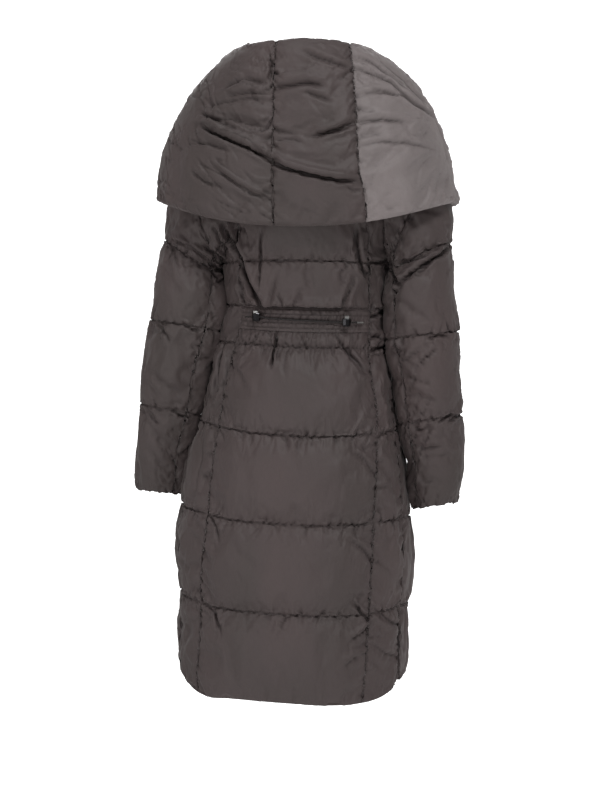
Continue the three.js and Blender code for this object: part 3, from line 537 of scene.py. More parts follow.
def collar_patch(name, edge_a, edge_b, seed, free_cols=()):
    q = []
    for k, span in zip(range(6), (72, 110, 110, 62, 36, 28)):
        n = max(3, int(round(span / STEP)))
        q.extend(k + np.arange(n) / n)
    q = np.array([0.0, 0.014, 0.035] + q[1:] + [6.0])[:, None]
    a0, b0 = edge_a(q), edge_b(q)
    s = np.sign(np.mean(b0 - a0))
    a = a0 + s * (GAP / 2) / collar_at(a0, q)[2]
    b = b0 - s * (GAP / 2) / collar_at(b0, q)[2]
    width = np.max(np.abs(b - a) * collar_at((a + b) / 2, q)[2])
    nu = max(4, int(round(width / STEP)))
    t = shares(nu, width)
    th = a + (b - a) * t
    qq = q * np.ones_like(th)
    p, n, per, perq = collar_at(th, qq)
    near = np.minimum(np.abs(th - collar_seam(1, qq)), np.abs(th - collar_seam(-1, qq))) * per
    drawn = (1 - np.sqrt(smooth(near / 30.0))) * 4.0
    drawn = drawn * (1 - smooth((qq - 4.6) / 0.5)) * (1 - 0.62 * smooth((qq - 2.6) / 1.0))
    thick = COLLAR["thick"](qq)
    # the free edge is a turned fold
    edge = np.clip(qq / 0.13, 0, 1)
    thick = thick * np.sqrt(1 - (1 - edge) ** 2 * 0.72)
    base = p - n * COLLAR["thick"](qq)[..., None]
    patch = Patch(name, base, n, thick, np.zeros(th.shape), th * per, qq * 75.0)
    patch.shell = base + n * (thick - drawn)[..., None]
    # the last row stands on the body's neckline
    last = th[-1]
    qb = np.full_like(last, 40.0)
    pb, nb, perb, _ = body_at(last, qb)
    below = body_at(last, qb - 3)[0]
    up = unit(pb - below)
    clear = (GAP + 0.9 * smooth((np.abs(last) - 1.3) / 0.3) + 0.3)[..., None]
    patch.base[-1] = pb + nb * SEAM + up * clear
    patch.shell[-1] = pb + up * clear
    patch.pin[:, 0] = patch.pin[:, -1] = patch.pin[-1] = 1.0
    patch.pin[:3] = 1.0
    patch.th, patch.q, patch.levels = th, qq, []
    patch.collar = True
    PATCHES.append(patch)
    return patch


collar_patch("collar_centre", lambda q: collar_seam(RIGHT, q), lambda q: collar_seam(LEFT, q), 31)
collar_patch("collar_left", lambda q: collar_seam(LEFT, q), lambda q: collar_end(LEFT, q), 32)
collar_patch("collar_right", lambda q: collar_seam(RIGHT, q), lambda q: collar_end(RIGHT, q), 33)


# ------------------------------------------------------------------ folds, puckers and crumples before the cloth settles
def segment_gap(x, z, ax, az, bx, bz):
    t = np.clip(((x - ax) * (bx - ax) + (z - az) * (bz - az)) / max(1e-6, (bx - ax) ** 2 + (bz - az) ** 2), 0, 1)
    return np.hypot(x - ax - t * (bx - ax), z - az - t * (bz - az)), t


def fold(patch, points, wide, deep, view=1, depth=115.0, pixels=True, fade=0.25, lap=0.0):
    """A trough along a line drawn on the face that looks to +Y (view 1) or -Y (view -1). With lap the side on
    the left of the line's way, seen in the photo, swells over the trough."""
    pts = [photo_mm(px, py, depth) for px, py in points] if pixels else points
    x, z = patch.shell[..., 0], patch.shell[..., 2]
    facing = patch.normal[..., 1] * view > 0.02
    best = np.full(x.shape, 1e9)
    at = np.zeros(x.shape)
    sign = np.ones(x.shape)
    total = sum(math.hypot(b[0] - a[0], b[1] - a[1]) for a, b in zip(pts, pts[1:]))
    run = 0.0
    for a, b in zip(pts, pts[1:]):
        g, t = segment_gap(x, z, a[0], a[1], b[0], b[1])
        length = math.hypot(b[0] - a[0], b[1] - a[1])
        closer = g < best
        best = np.where(closer, g, best)
        cross = (b[0] - a[0]) * (z - a[1]) - (b[1] - a[1]) * (x - a[0])
        sign = np.where(closer, -np.sign(cross) * view, sign)
        at = np.where(closer, (run + t * length) / total, at)
        run += length
    ends = smooth(np.minimum(at, 1 - at) / fade * 1.0 + 0.25)
    shape = np.exp(-(best / wide) ** 2) - 0.35 * np.exp(-((best - 2.1 * wide) / (0.9 * wide)) ** 2)
    over = np.where(sign > 0, np.exp(-((best - 2.6 * wide) / (1.9 * wide)) ** 2), 0.0)
    return np.where(facing, (-deep * shape + lap * over) * ends, 0.0)


# photo lines: pieces, points, half width and depth in mm, depth of the surface
FOLDS = [
    (("back_upper", "side_back_left"), [(222, 222), (231, 240), (240, 259), (246, 276), (253, 293), (265, 309)], 4.6, 10.0, 112, 4.0),
    (("sleeve_left_upper", "side_back_left"), [(221, 222), (227, 236), (235, 250)], 5.0, 7.0, 90, 3.0),
    (("back_upper",), [(262, 228), (260, 258), (257, 291)], 2.6, 5.0, 118, 1.5),
    (("back_upper",), [(269, 308), (272, 290), (276, 278)], 3.5, 3.0, 112),
    (("back_upper", "side_back_right"), [(355, 226), (355, 246), (359, 268), (364, 277)], 3.4, 7.0, 118, 3.0),
    (("back_upper",), [(353, 276), (349, 288), (344, 299), (341, 309)], 3.2, 5.5, 112, 2.0),
    (("back_upper",), [(292, 306), (297, 298), (301, 291)], 2.4, 3.6, 112, 1.0),
    (("back_upper",), [(283, 307), (281, 300), (276, 294)], 2.4, 3.2, 112, 1.0),
    (("back_upper",), [(306, 264), (310, 280), (315, 290)], 6.0, 1.6, 115),
    (("back_upper",), [(285, 262), (287, 276), (292, 286)], 5.0, 1.4, 115),
    (("back_upper",), [(296, 306), (300, 298), (303, 290)], 3.2, 2.0, 112),
    (("back_lower",), [(277, 330), (275, 347), (272, 368)], 2.4, 6.5, 112, 1.0),
    (("back_lower",), [(334, 332), (341, 346), (353, 360), (364, 374)], 3.4, 4.6, 112, 1.5),
    (("back_lower",), [(233, 366), (238, 378), (243, 388)], 4.5, 2.2, 115),
    (("back_lower",), [(310, 334), (313, 347), (312, 372)], 4.0, 1.8, 112),
    (("back_lower",), [(300, 333), (303, 342), (307, 349)], 2.2, 3.0, 112, 0.8),
    (("back_lower",), [(258, 332), (254, 340), (247, 347)], 2.6, 3.0, 112, 0.8),
    (("back_lower", "side_back_right"), [(352, 600), (360, 612), (369, 622)], 2.6, 3.6, 130, 1.5),
    (("back_lower", "side_back_right"), [(350, 640), (360, 634), (372, 622)], 2.6, 3.4, 120, 1.5),
    (("back_lower", "side_back_right"), [(346, 664), (356, 656), (370, 652)], 2.6, 3.2, 120, 1.2),
    (("back_lower", "side_back_right"), [(352, 540), (362, 548), (374, 566)], 3.0, 3.0, 125, 1.5),
    (("back_lower", "side_back_right"), [(354, 452), (364, 460), (378, 482)], 3.0, 2.8, 120, 1.5),
    (("side_back_right",), [(372, 640), (384, 652), (398, 660)], 3.4, 3.0, 90, 1.5),
    (("side_back_right",), [(374, 606), (388, 620), (400, 628)], 3.4, 3.0, 90, 1.5),
    (("back_lower",), [(204, 604), (216, 616), (222, 634)], 3.0, 3.0, 130, 1.5),
    (("back_lower",), [(206, 514), (216, 526), (220, 544)], 3.0, 2.8, 130, 1.5),
    (("back_lower",), [(325, 336), (333, 350), (338, 360)], 3.6, 1.8, 112),
    (("back_lower",), [(246, 352), (256, 372), (262, 396)], 7.0, 1.7, 120),
    (("back_lower",), [(283, 442), (292, 456), (297, 470)], 6.0, 1.7, 140),
    (("back_lower",), [(330, 445), (342, 458), (350, 480)], 7.0, 1.6, 140),
    (("back_lower",), [(232, 440), (246, 468), (252, 496)], 8.0, 1.6, 140),
    (("back_lower",), [(222, 530), (240, 556), (262, 572)], 8.0, 1.8, 145),
    (("back_lower",), [(300, 534), (318, 560), (322, 590)], 9.0, 1.6, 145),
    (("back_lower",), [(212, 622), (230, 650), (236, 684)], 8.0, 1.8, 145),
    (("back_lower",), [(330, 628), (322, 655), (328, 690)], 8.0, 1.7, 145),
    (("back_lower",), [(268, 655), (282, 672), (288, 694)], 7.0, 1.4, 145),
    (("side_back_right",), [(364, 319), (374, 314), (386, 300)], 2.6, 6.5, 90, 2.5),
    (("side_back_right",), [(364, 340), (372, 335), (381, 339)], 2.6, 6.0, 90, 2.0),
    (("side_back_right",), [(366, 262), (376, 262), (388, 256)], 2.8, 5.0, 90, 2.0),
    (("side_back_right",), [(368, 352), (380, 346), (389, 331)], 3.0, 6.5, 85, 3.0),
    (("side_back_right",), [(372, 349), (380, 340), (388, 330)], 3.0, 3.0, 80),
    (("side_back_right",), [(366, 232), (374, 246), (384, 250)], 4.0, 2.0, 90),
    (("side_back_right",), [(368, 360), (372, 400), (384, 436)], 7.0, 2.2, 100),
    (("side_back_right",), [(390, 365), (392, 400), (396, 432)], 5.0, 2.0, 60),
    (("side_back_right",), [(376, 455), (392, 480), (402, 508)], 7.0, 2.2, 90),
    (("side_back_right",), [(374, 545), (392, 570), (404, 590)], 7.0, 2.0, 90),
    (("side_back_left",), [(222, 336), (219, 356), (215, 380), (212, 398)], 2.8, 5.0, 90, 1.5),
    (("side_back_left",), [(214, 348), (211, 372), (206, 396)], 2.6, 4.4, 80, 1.5),
    (("side_back_left",), [(229, 352), (226, 372), (222, 392)], 2.6, 3.4, 95, 1.0),
    (("side_back_left",), [(236, 262), (238, 290), (243, 306)], 3.0, 4.0, 105, 1.0),
    (("side_back_left",), [(205, 432), (203, 462), (196, 500)], 4.5, 2.4, 80),
    (("side_back_left",), [(192, 530), (188, 560), (190, 588)], 5.0, 2.2, 60),
    (("side_back_left",), [(192, 620), (188, 645), (192, 680)], 5.0, 2.0, 60),
    # left sleeve
    (("sleeve_left_upper", "sleeve_left_under"), [(172, 238), (184, 243), (196, 249), (212, 262)], 2.4, 3.6, 55, 2),
    (("sleeve_left_upper", "sleeve_left_under"), [(182, 226), (188, 236), (196, 246)], 3.4, 2.2, 55, 1.0),
    (("sleeve_left_upper", "sleeve_left_under"), [(196, 228), (204, 240), (214, 250)], 3.2, 2.2, 55, 1.0),
    (("sleeve_left_upper", "sleeve_left_under"), [(204, 244), (214, 252), (228, 262)], 2.6, 5.0, 55, 2),
    (("sleeve_left_upper", "sleeve_left_under"), [(208, 262), (218, 268), (228, 268)], 2.8, 4.4, 55, 1.5),
    (("sleeve_left_upper", "sleeve_left_under"), [(216, 226), (222, 240), (229, 252)], 3.0, 4.6, 55, 2),
    (("sleeve_left_upper", "sleeve_left_under"), [(216, 283), (222, 278), (229, 275)], 2.2, 3.6, 55, 1),
    (("sleeve_left_upper", "sleeve_left_under"), [(174, 244), (176, 256), (180, 266)], 3.2, 2.6, 55, 1),
    (("sleeve_left_upper", "sleeve_left_under"), [(162, 262), (176, 284), (190, 306)], 7.0, 2.0, 55, 0),
    (("sleeve_left_upper", "sleeve_left_under"), [(157, 322), (168, 334), (174, 344)], 2.8, 3.4, 55, 1),
    (("sleeve_left_upper", "sleeve_left_under"), [(186, 322), (194, 330), (204, 330)], 2.4, 3.2, 55, 1),
    (("sleeve_left_upper", "sleeve_left_under"), [(192, 348), (198, 346), (204, 346)], 2.0, 3.0, 55, 1),
    (("sleeve_left_upper", "sleeve_left_under"), [(198, 360), (205, 357), (210, 358)], 2.0, 2.8, 55, 1),
    (("sleeve_left_upper", "sleeve_left_under"), [(152, 372), (168, 386), (184, 394)], 6.0, 2.2, 55, 0.5),
    (("sleeve_left_upper", "sleeve_left_under"), [(172, 408), (180, 416), (190, 418)], 2.8, 4.0, 55, 1.5),
    (("sleeve_left_upper", "sleeve_left_under"), [(176, 456), (182, 453), (188, 446)], 2.6, 3.8, 55, 1.5),
    (("sleeve_left_upper", "sleeve_left_under"), [(146, 410), (152, 420), (158, 424)], 3.0, 3.0, 55, 1),
    (("sleeve_left_upper", "sleeve_left_under"), [(150, 430), (162, 444), (172, 450)], 5.5, 2.2, 55, 0.5),
    (("sleeve_left_upper", "sleeve_left_under"), [(144, 450), (156, 464), (168, 476)], 4.0, 2.0, 55, 0.5),
    (("sleeve_left_upper", "sleeve_left_under"), [(150, 470), (160, 480), (166, 488)], 3.4, 2.2, 55, 0.5),
    # right sleeve
    (("sleeve_right_upper", "sleeve_right_under"), [(398, 288), (412, 276), (424, 267), (440, 256), (451, 242)], 3.0, 8.5, 55, 4.0),
    (("sleeve_right_upper", "sleeve_right_under"), [(397, 266), (412, 262), (430, 258)], 2.8, 3.6, 55, 1.5),
    (("sleeve_right_upper", "sleeve_right_under"), [(414, 280), (424, 272), (432, 262)], 2.6, 4.4, 55, 1.5),
    (("sleeve_right_upper", "sleeve_right_under"), [(388, 258), (393, 274), (401, 288)], 3.2, 7.0, 55, 3),
    (("sleeve_right_upper", "sleeve_right_under"), [(388, 300), (394, 296), (402, 288)], 2.8, 4.4, 55, 1.5),
    (("sleeve_right_upper", "sleeve_right_under"), [(399, 300), (412, 312), (430, 322)], 7.0, 1.8, 55, 0),
    (("sleeve_right_upper", "sleeve_right_under"), [(428, 340), (438, 336), (448, 338)], 2.8, 3.6, 55, 1.5),
    (("sleeve_right_upper", "sleeve_right_under"), [(392, 342), (398, 350), (404, 352)], 2.6, 4.2, 55, 1.5),
    (("sleeve_right_upper", "sleeve_right_under"), [(404, 362), (412, 356), (420, 350)], 2.6, 3.4, 55, 1),
    (("sleeve_right_upper", "sleeve_right_under"), [(415, 369), (425, 360), (436, 350)], 2.2, 4.2, 55, 1.5),
    (("sleeve_right_upper", "sleeve_right_under"), [(404, 374), (416, 380), (430, 384)], 3.0, 3.0, 55, 1),
    (("sleeve_right_upper", "sleeve_right_under"), [(408, 392), (420, 398), (436, 402)], 6.0, 2.0, 55, 0.5),
    (("sleeve_right_upper", "sleeve_right_under"), [(436, 424), (444, 416), (452, 414)], 2.4, 3.6, 55, 1),
    (("sleeve_right_upper", "sleeve_right_under"), [(446, 422), (454, 416), (462, 413)], 2.2, 3.4, 55, 1),
    (("sleeve_right_upper", "sleeve_right_under"), [(412, 428), (420, 430), (432, 426)], 3.0, 3.0, 55, 1),
    (("sleeve_right_upper", "sleeve_right_under"), [(416, 446), (426, 448), (440, 446)], 3.6, 2.6, 55, 1),
    (("sleeve_right_upper", "sleeve_right_under"), [(418, 478), (424, 482), (432, 480)], 3.0, 2.8, 55, 1),
    (("sleeve_right_upper", "sleeve_right_under"), [(420, 462), (432, 456), (448, 458)], 5.0, 2.0, 55, 0.5),
    # collar
    (("collar_left", "collar_centre"), [(196, 122), (219, 134), (249, 147), (273, 161)], 3.8, 9.0, 160, 8.0),
    (("collar_centre", "collar_right"), [(268, 159), (288, 168), (310, 175), (336, 180), (360, 182)], 3.8, 9.0, 165, 7.5),
    (("collar_centre",), [(272, 87), (290, 85), (306, 83), (324, 86)], 5.0, 5.0, 150, 3.0),
    (("collar_centre",), [(304, 91), (316, 96), (330, 101)], 3.6, 3.0, 150, 1.0),
    (("collar_centre",), [(300, 50), (322, 60), (352, 69)], 4.0, 3.4, 130, 1.5),
    (("collar_centre", "collar_right"), [(312, 137), (334, 131), (360, 121)], 4.4, 5.4, 155, 3.0),
    (("collar_centre",), [(272, 128), (284, 132), (296, 134)], 4.0, 2.4, 158, 1.0),
    (("collar_right",), [(358, 123), (384, 120), (412, 120)], 4.4, 4.2, 150, 2.5),
    (("collar_right",), [(352, 68), (372, 73), (394, 82), (414, 100)], 3.8, 4.0, 120, 2.0),
    (("collar_right",), [(350, 54), (374, 62), (398, 78), (420, 96)], 4.0, 3.6, 115, 2.0),
    (("collar_right",), [(380, 58), (404, 78), (432, 108)], 3.8, 3.4, 100, 2.0),
    (("collar_right",), [(376, 90), (388, 92), (398, 95)], 3.0, 2.6, 125, 1.0),
    (("collar_right",), [(398, 88), (412, 100), (430, 112)], 3.0, 2.6, 110, 1.0),
    (("collar_right",), [(364, 140), (392, 128), (424, 130)], 8.0, 1.8, 145),
    (("collar_right",), [(372, 168), (400, 146), (436, 128)], 9.0, 1.8, 145),
    (("collar_right",), [(384, 200), (412, 172), (446, 152)], 9.0, 1.6, 145),
    (("collar_right",), [(410, 206), (430, 190), (450, 172)], 8.0, 1.4, 130),
    (("collar_left",), [(196, 106), (222, 100), (248, 98), (272, 101)], 7.0, 2.6, 140, 1.5),
    (("collar_left",), [(218, 88), (244, 78), (268, 84)], 5.0, 3.2, 130, 2.0),
    (("collar_left",), [(208, 116), (232, 118), (252, 124), (271, 128)], 6.0, 2.8, 150, 1.5),
    (("collar_left",), [(206, 124), (224, 128), (248, 138), (270, 156)], 5.0, 2.6, 155),
    (("collar_left",), [(268, 52), (272, 64), (271, 84)], 3.4, 4.0, 125, 2.0),
    (("collar_left",), [(212, 164), (229, 178), (248, 190), (271, 202)], 4.0, 3.0, 155, 1.2),
    (("collar_left",), [(188, 168), (206, 181), (222, 186)], 3.4, 2.8, 150, 1.0),
    (("collar_left",), [(226, 94), (248, 92), (271, 95)], 3.0, 3.0, 140, 1.5),
    (("collar_left",), [(195, 108), (219, 120), (240, 130)], 3.0, 3.4, 150, 1.5),
    (("collar_left", "collar_centre"), [(268, 58), (272, 66), (277, 76)], 3.2, 2.2, 125, 1.0),
    (("collar_left",), [(184, 140), (206, 142), (230, 150)], 3.6, 2.8, 150, 1.2),
    (("collar_centre",), [(276, 140), (290, 139), (304, 143)], 3.0, 2.6, 158, 1.0),
    (("collar_centre",), [(322, 135), (338, 131), (353, 128)], 2.8, 3.2, 155, 1.2),
    (("collar_right",), [(357, 99), (380, 94), (405, 95), (436, 113)], 3.4, 3.2, 120, 1.6),
    (("collar_right",), [(360, 150), (384, 143), (410, 142), (440, 148)], 4.5, 2.6, 145, 1.2),
    (("collar_left",), [(190, 172), (214, 186), (244, 200), (270, 206)], 7.0, 2.0, 155),
    (("collar_left",), [(180, 148), (178, 172), (176, 196)], 8.0, 1.8, 120),
    (("collar_centre",), [(346, 186), (354, 192), (362, 190)], 3.0, 2.4, 160, 1.0),
]
by_name = {p.name: p for p in PATCHES}


def mirrored_front(name, seed, n, box, wide, deep):
    """Similar folds on faces the photo doesn't show."""
    r = np.random.default_rng(seed)
    out = []
    for _ in range(n):
        x0, z0 = r.uniform(box[0], box[1]), r.uniform(box[2], box[3])
        length, lean = r.uniform(30, 85), r.uniform(-0.9, 0.9)
        x1, z1 = x0 + math.sin(lean) * length, z0 - math.cos(lean) * length
        mid = ((x0 + x1) / 2 + r.uniform(-7, 7), (z0 + z1) / 2)
        out.append((name, [(x0, z0), mid, (x1, z1)], r.uniform(*wide), r.uniform(*deep)))
    return out


HIDDEN = (mirrored_front("front_left", 3, 26, (10, 190, -930, -60), (4.5, 9.0), (1.4, 3.4))
          + mirrored_front("front_right", 4, 26, (-160, -10, -930, -60), (4.5, 9.0), (1.4, 3.4))
          + mirrored_front("sleeve_left_upper", 5, 9, (170, 260, -600, -200), (4.5, 7.5), (2.0, 3.6))
          + mirrored_front("sleeve_right_upper", 6, 9, (-250, -160, -600, -200), (4.5, 7.5), (2.0, 3.6))
          + mirrored_front("collar_left", 7, 6, (60, 220, -60, 60), (7, 11), (2.0, 4.0))
          + mirrored_front("collar_right", 8, 6, (-220, -60, -60, 60), (7, 11), (2.0, 4.0)))


def pucker(patch, seed):
    """Short gathers that run out from the stitched rows and fade in the baffle."""
    if not patch.levels:
        return 0.0
    dist = np.full(patch.q.shape, 1e9)
    for k in patch.levels:
        dist = np.minimum(dist, np.abs(patch.q - k))
    u = patch.across
    reach = 9.0 + 16.0 * np.clip(0.5 + noise2(u / 21.0, patch.q * 0 + 3.3, seed), 0, 1)
    wave = noise2(u / 7.5, patch.q / 60.0, seed + 1) + 0.6 * noise2(u / 4.4, patch.q / 40.0, seed + 2)
    strength = np.clip(0.35 + 1.1 * noise2(u / 45.0, patch.q / 90.0, seed + 3), 0.12, 1.2)
    return 1.5 * wave * strength * np.exp(-(dist / reach) ** 1.5) * (1 - np.exp(-(dist / 2.2) ** 2) * 0.45)


def crumple(patch, seed):
    u, v = patch.across, patch.q if not getattr(patch, "collar", False) else patch.along
    warp = 14.0 * noise2(u / 90.0, v / 90.0, seed + 9)
    a = ridged((u + 0.55 * v + warp) / 62.0, (v - 0.3 * u) / 120.0, seed)
    b = ridged((u - 0.7 * v - warp) / 74.0, (v + 0.4 * u) / 95.0, seed + 4)
    c = noise2(u / 26.0, v / 34.0, seed + 6)
    return 1.1 * (a - 0.55) + 1.0 * (b - 0.55) + 0.55 * c


def gathers(patch, seed):
    """Close upright gathers above and below the drawn-in waist casing, on the back panel."""
    if patch.name not in ("back_upper", "back_lower"):
        return 0.0
    x, q, u = patch.shell[..., 0], patch.q, patch.across
    inside = smooth((x + 96.0) / 14.0) * smooth((78.0 - x) / 14.0)
    fine = noise2(u / 4.6, q / 46.0, seed) + 0.7 * noise2(u / 8.0, q / 60.0, seed + 1)
    if patch.name == "back_upper":
        up = q + 346.0
        hang = 7.6 * np.exp(-((up - 8.0) / 7.5) ** 2)
        return inside * (hang + 2.4 * fine * np.exp(-up / 15.0))
    down = -386.0 - q
    band = np.where(down < 25, 1.5 * np.sin(np.pi * np.clip(down / 25.0, 0, 1)), 0.0)
    return inside * (1.9 * fine * np.exp(-np.maximum(down - 4.0, 0) / 20.0) + band)


def prepare(patch, seed):
    disp = crumple(patch, seed) * 0.9
    disp = disp + pucker(patch, seed) + gathers(patch, seed + 60)
    for names, points, wide, deep, depth, *rest in FOLDS:
        if patch.name in names:
            disp = disp + fold(patch, points, wide, deep, depth=depth, lap=rest[0] if rest else 0.0)
    for name, points, wide, deep in HIDDEN:
        if patch.name == name:
            disp = disp + fold(patch, points, wide, deep, view=-1, pixels=False)
    # seams and stitched rows keep most of their place
    hold = np.ones_like(disp)
    hold = np.where(patch.pin > 0, 0.22, 1.0)
    if not getattr(patch, "collar", False):
        room = patch.thick - 2.2
        disp = np.maximum(disp * hold, -np.maximum(room, 0.2))
    else:
        room = np.linalg.norm(patch.shell - patch.base, axis=-1) - 3.0
        disp = np.maximum(disp * hold * np.where(patch.pin > 0, 0.6, 1.0), -np.maximum(room, 0.2))
    edges = np.ones_like(disp)
    edges[0] = edges[-1] = 0.0
    edges[:, 0] = edges[:, -1] = 0.0
    patch.shell = patch.shell + patch.normal * (disp * edges)[..., None]


for k, patch in enumerate(PATCHES):
    if getattr(patch, "still", False):
        continue
    if patch.name == "waist_casing":
        continue
    prepare(patch, 40 + 7 * k)


# ------------------------------------------------------------------ cloth: the shell fabric is a little larger than the quilted wall
def grid_mesh(name, points):
    nv, nu = points.shape[:2]
    mesh = bpy.data.meshes.new(name)
    co = (points.reshape(-1, 3) * MM).astype(np.float32)
    i = np.arange(nv * nu).reshape(nv, nu)
    quads = np.stack([i[:-1, :-1], i[1:, :-1], i[1:, 1:], i[:-1, 1:]], -1).reshape(-1, 4)
    mesh.vertices.add(len(co))
    mesh.vertices.foreach_set("co", co.ravel())
    mesh.loops.add(quads.size)
    mesh.loops.foreach_set("vertex_index", quads.ravel().astype(np.int32))
    mesh.polygons.add(len(quads))
    mesh.polygons.foreach_set("loop_start", np.arange(0, quads.size, 4, dtype=np.int32))
    mesh.update(calc_edges=True)
    return mesh


def settle(patches, frames=14):
    made = []
    for patch in patches:
        obj = bpy.data.objects.new("settle_" + patch.name, grid_mesh("settle_" + patch.name, patch.shell))
        scene.collection.objects.link(obj)
        group = obj.vertex_groups.new(name="pin")
        pin = patch.pin.reshape(-1)
        group.add([int(v) for v in np.nonzero(pin > 0.5)[0]], 1.0, "REPLACE")
        mod = obj.modifiers.new("cloth", "CLOTH")
        c = mod.settings
        c.quality = 4
        c.mass = 0.25
        c.tension_stiffness = 14
        c.compression_stiffness = 9
        c.shear_stiffness = 5
        c.bending_stiffness = 0.08
        c.tension_damping = 6
        c.compression_damping = 6
        c.shear_damping = 5
        c.air_damping = 2.0
        c.vertex_group_mass = "pin"
        c.pin_stiffness = 1.0
        c.shrink_min = -0.03
        c.use_pressure = True
        c.uniform_pressure_force = 0.9
        c.effector_weights.gravity = 0.0
        mod.collision_settings.use_collision = False
        mod.collision_settings.use_self_collision = False
        mod.point_cache.frame_start = 1
        mod.point_cache.frame_end = frames
        made.append((patch, obj))
    for f in range(1, frames + 1):
        scene.frame_set(f)
    graph = bpy.context.evaluated_depsgraph_get()
    for patch, obj in made:
        ev = obj.evaluated_get(graph)
        co = np.empty(len(ev.data.vertices) * 3, np.float32)
        ev.data.vertices.foreach_get("co", co)
        moved = co.reshape(patch.shell.shape).astype(float) / MM - patch.shell
        size = np.linalg.norm(moved, axis=-1, keepdims=True)
        cap = 4.5
        moved = moved * np.minimum(1.0, cap / np.maximum(size, 1e-6))
        patch.shell = patch.shell + moved
    for _, obj in made:
        mesh = obj.data
        bpy.data.objects.remove(obj)
        bpy.data.meshes.remove(mesh)
    scene.frame_set(1)


settle([p for p in PATCHES if not getattr(p, "still", False) and p.name != "waist_casing"])


# ------------------------------------------------------------------ finished pieces
def zipper(fine, coarse_idx, coarse):
    """Triangles between a fine edge and the coarse edge below it that shares its ends."""
    tris = []
    for c in range(len(coarse_idx) - 1):
        i0, i1 = coarse_idx[c], coarse_idx[c + 1]
        mid = (i0 + i1) // 2
        for k in range(i0, mid):
            tris.append((coarse[c], fine[k], fine[k + 1]))
        tris.append((coarse[c], fine[mid], coarse[c + 1]))
        for k in range(mid, i1):
            tris.append((coarse[c + 1], fine[k], fine[k + 1]))
    return tris


def arcs(p, axis):
    step = np.linalg.norm(np.diff(p, axis=axis), axis=-1)
    shape = list(step.shape)
    shape[axis] = 1
    return np.concatenate([np.zeros(shape), np.cumsum(step, axis=axis)], axis)


def teeth(rng, du, dv, span, gap, amp, half, reach, slant=0.5):
    """Small tucks at uneven places along a stitched line. du runs along it, dv away from it."""
    out = np.zeros_like(du)
    at = rng.uniform(0, gap[1])
    while at < span:
        a, w, length = rng.uniform(*amp), rng.uniform(*half), rng.uniform(*reach)
        if rng.uniform() < 0.25:
            a *= 1.5
            length *= 1.5
        lean = rng.uniform(-slant, slant)
        off = du - at - lean * dv - 0.12 * length * np.sin(dv / length * 2.0)
        near = (np.abs(off) < 4 * w) & (dv < 4 * length)
        grow = 1 + 0.5 * dv / length
        val = -a * (np.exp(-(off / (w * grow)) ** 2) - 0.45 * np.exp(-((off - 1.9 * w * grow) / (1.1 * w * grow)) ** 2)) * np.exp(-(dv / length) ** 1.4)
        out += np.where(near, val, 0.0)
        at += rng.uniform(*gap)
    return out


class Fine:
    def __init__(self, shell, normal):
        self.shell, self.normal = shell, normal


def crisp(patch, shell, outward):
    """The bottom of each drawn fold, narrow and a little unsteady."""
    wander = np.stack([noise2(shell[..., 2] / 17.0, shell[..., 0] / 23.0, 71), np.zeros(shell.shape[:2]), noise2(shell[..., 0] / 17.0, shell[..., 2] / 23.0, 72)], -1)
    fine = Fine(shell + 1.5 * wander, outward)
    out = np.zeros(shell.shape[:2])
    # dark is painted shade: a darker line laid along the bottom of each deeper fold, on seen and hidden faces alike
    dark = np.zeros(shell.shape[:2])
    for names, points, wide, deep, depth, *rest in FOLDS:
        if patch.name in names and deep > 2.3:
            lap = rest[0] if rest else 0.0
            out += fold(fine, points, min(2.1, 0.5 * wide + 0.4), min(3.4, 0.42 * deep), depth=depth, lap=0.35 * lap, fade=0.35)
            broad = max(1.3, min(0.62 * wide, 0.30 * deep)) * (1.35 if deep > 8 else 1.0)
            line = -fold(fine, points, broad, 1.0, depth=depth, fade=0.45)
            dark = np.maximum(dark, np.clip(1.15 * line, 0, 1) * min(0.97 if not getattr(patch, "collar", False) else 0.8, 0.13 * deep))
    for name, points, wide, deep in HIDDEN:
        if patch.name == name and deep > 2.3:
            out += fold(fine, points, min(2.1, 0.5 * wide + 0.4), min(3.0, 0.4 * deep), view=-1, pixels=False, fade=0.35)
            line = -fold(fine, points, 1.5, 1.0, view=-1, pixels=False, fade=0.45)
            dark = np.maximum(dark, np.clip(line, 0, 1) * min(0.6, 0.10 * deep))
    return out, dark


def creases(u, v, angle, long, short, seed):
    """Long narrow creases along one way, each with a swelling on one side."""
    c, s = math.cos(math.radians(angle)), math.sin(math.radians(angle))
    r, w = c * u + s * v, -s * u + c * v
    w = w + 7.0 * noise2(r / 60.0, w / 60.0, seed + 1)
    n = noise2(r / long, w / short, seed)
    some = smooth((noise2(u / 80.0, v / 70.0, seed + 7) + 0.30) / 0.35)
    return some * (0.6 * np.exp(-((n - 0.20) / 0.16) ** 2) - np.exp(-(n / 0.075) ** 2))


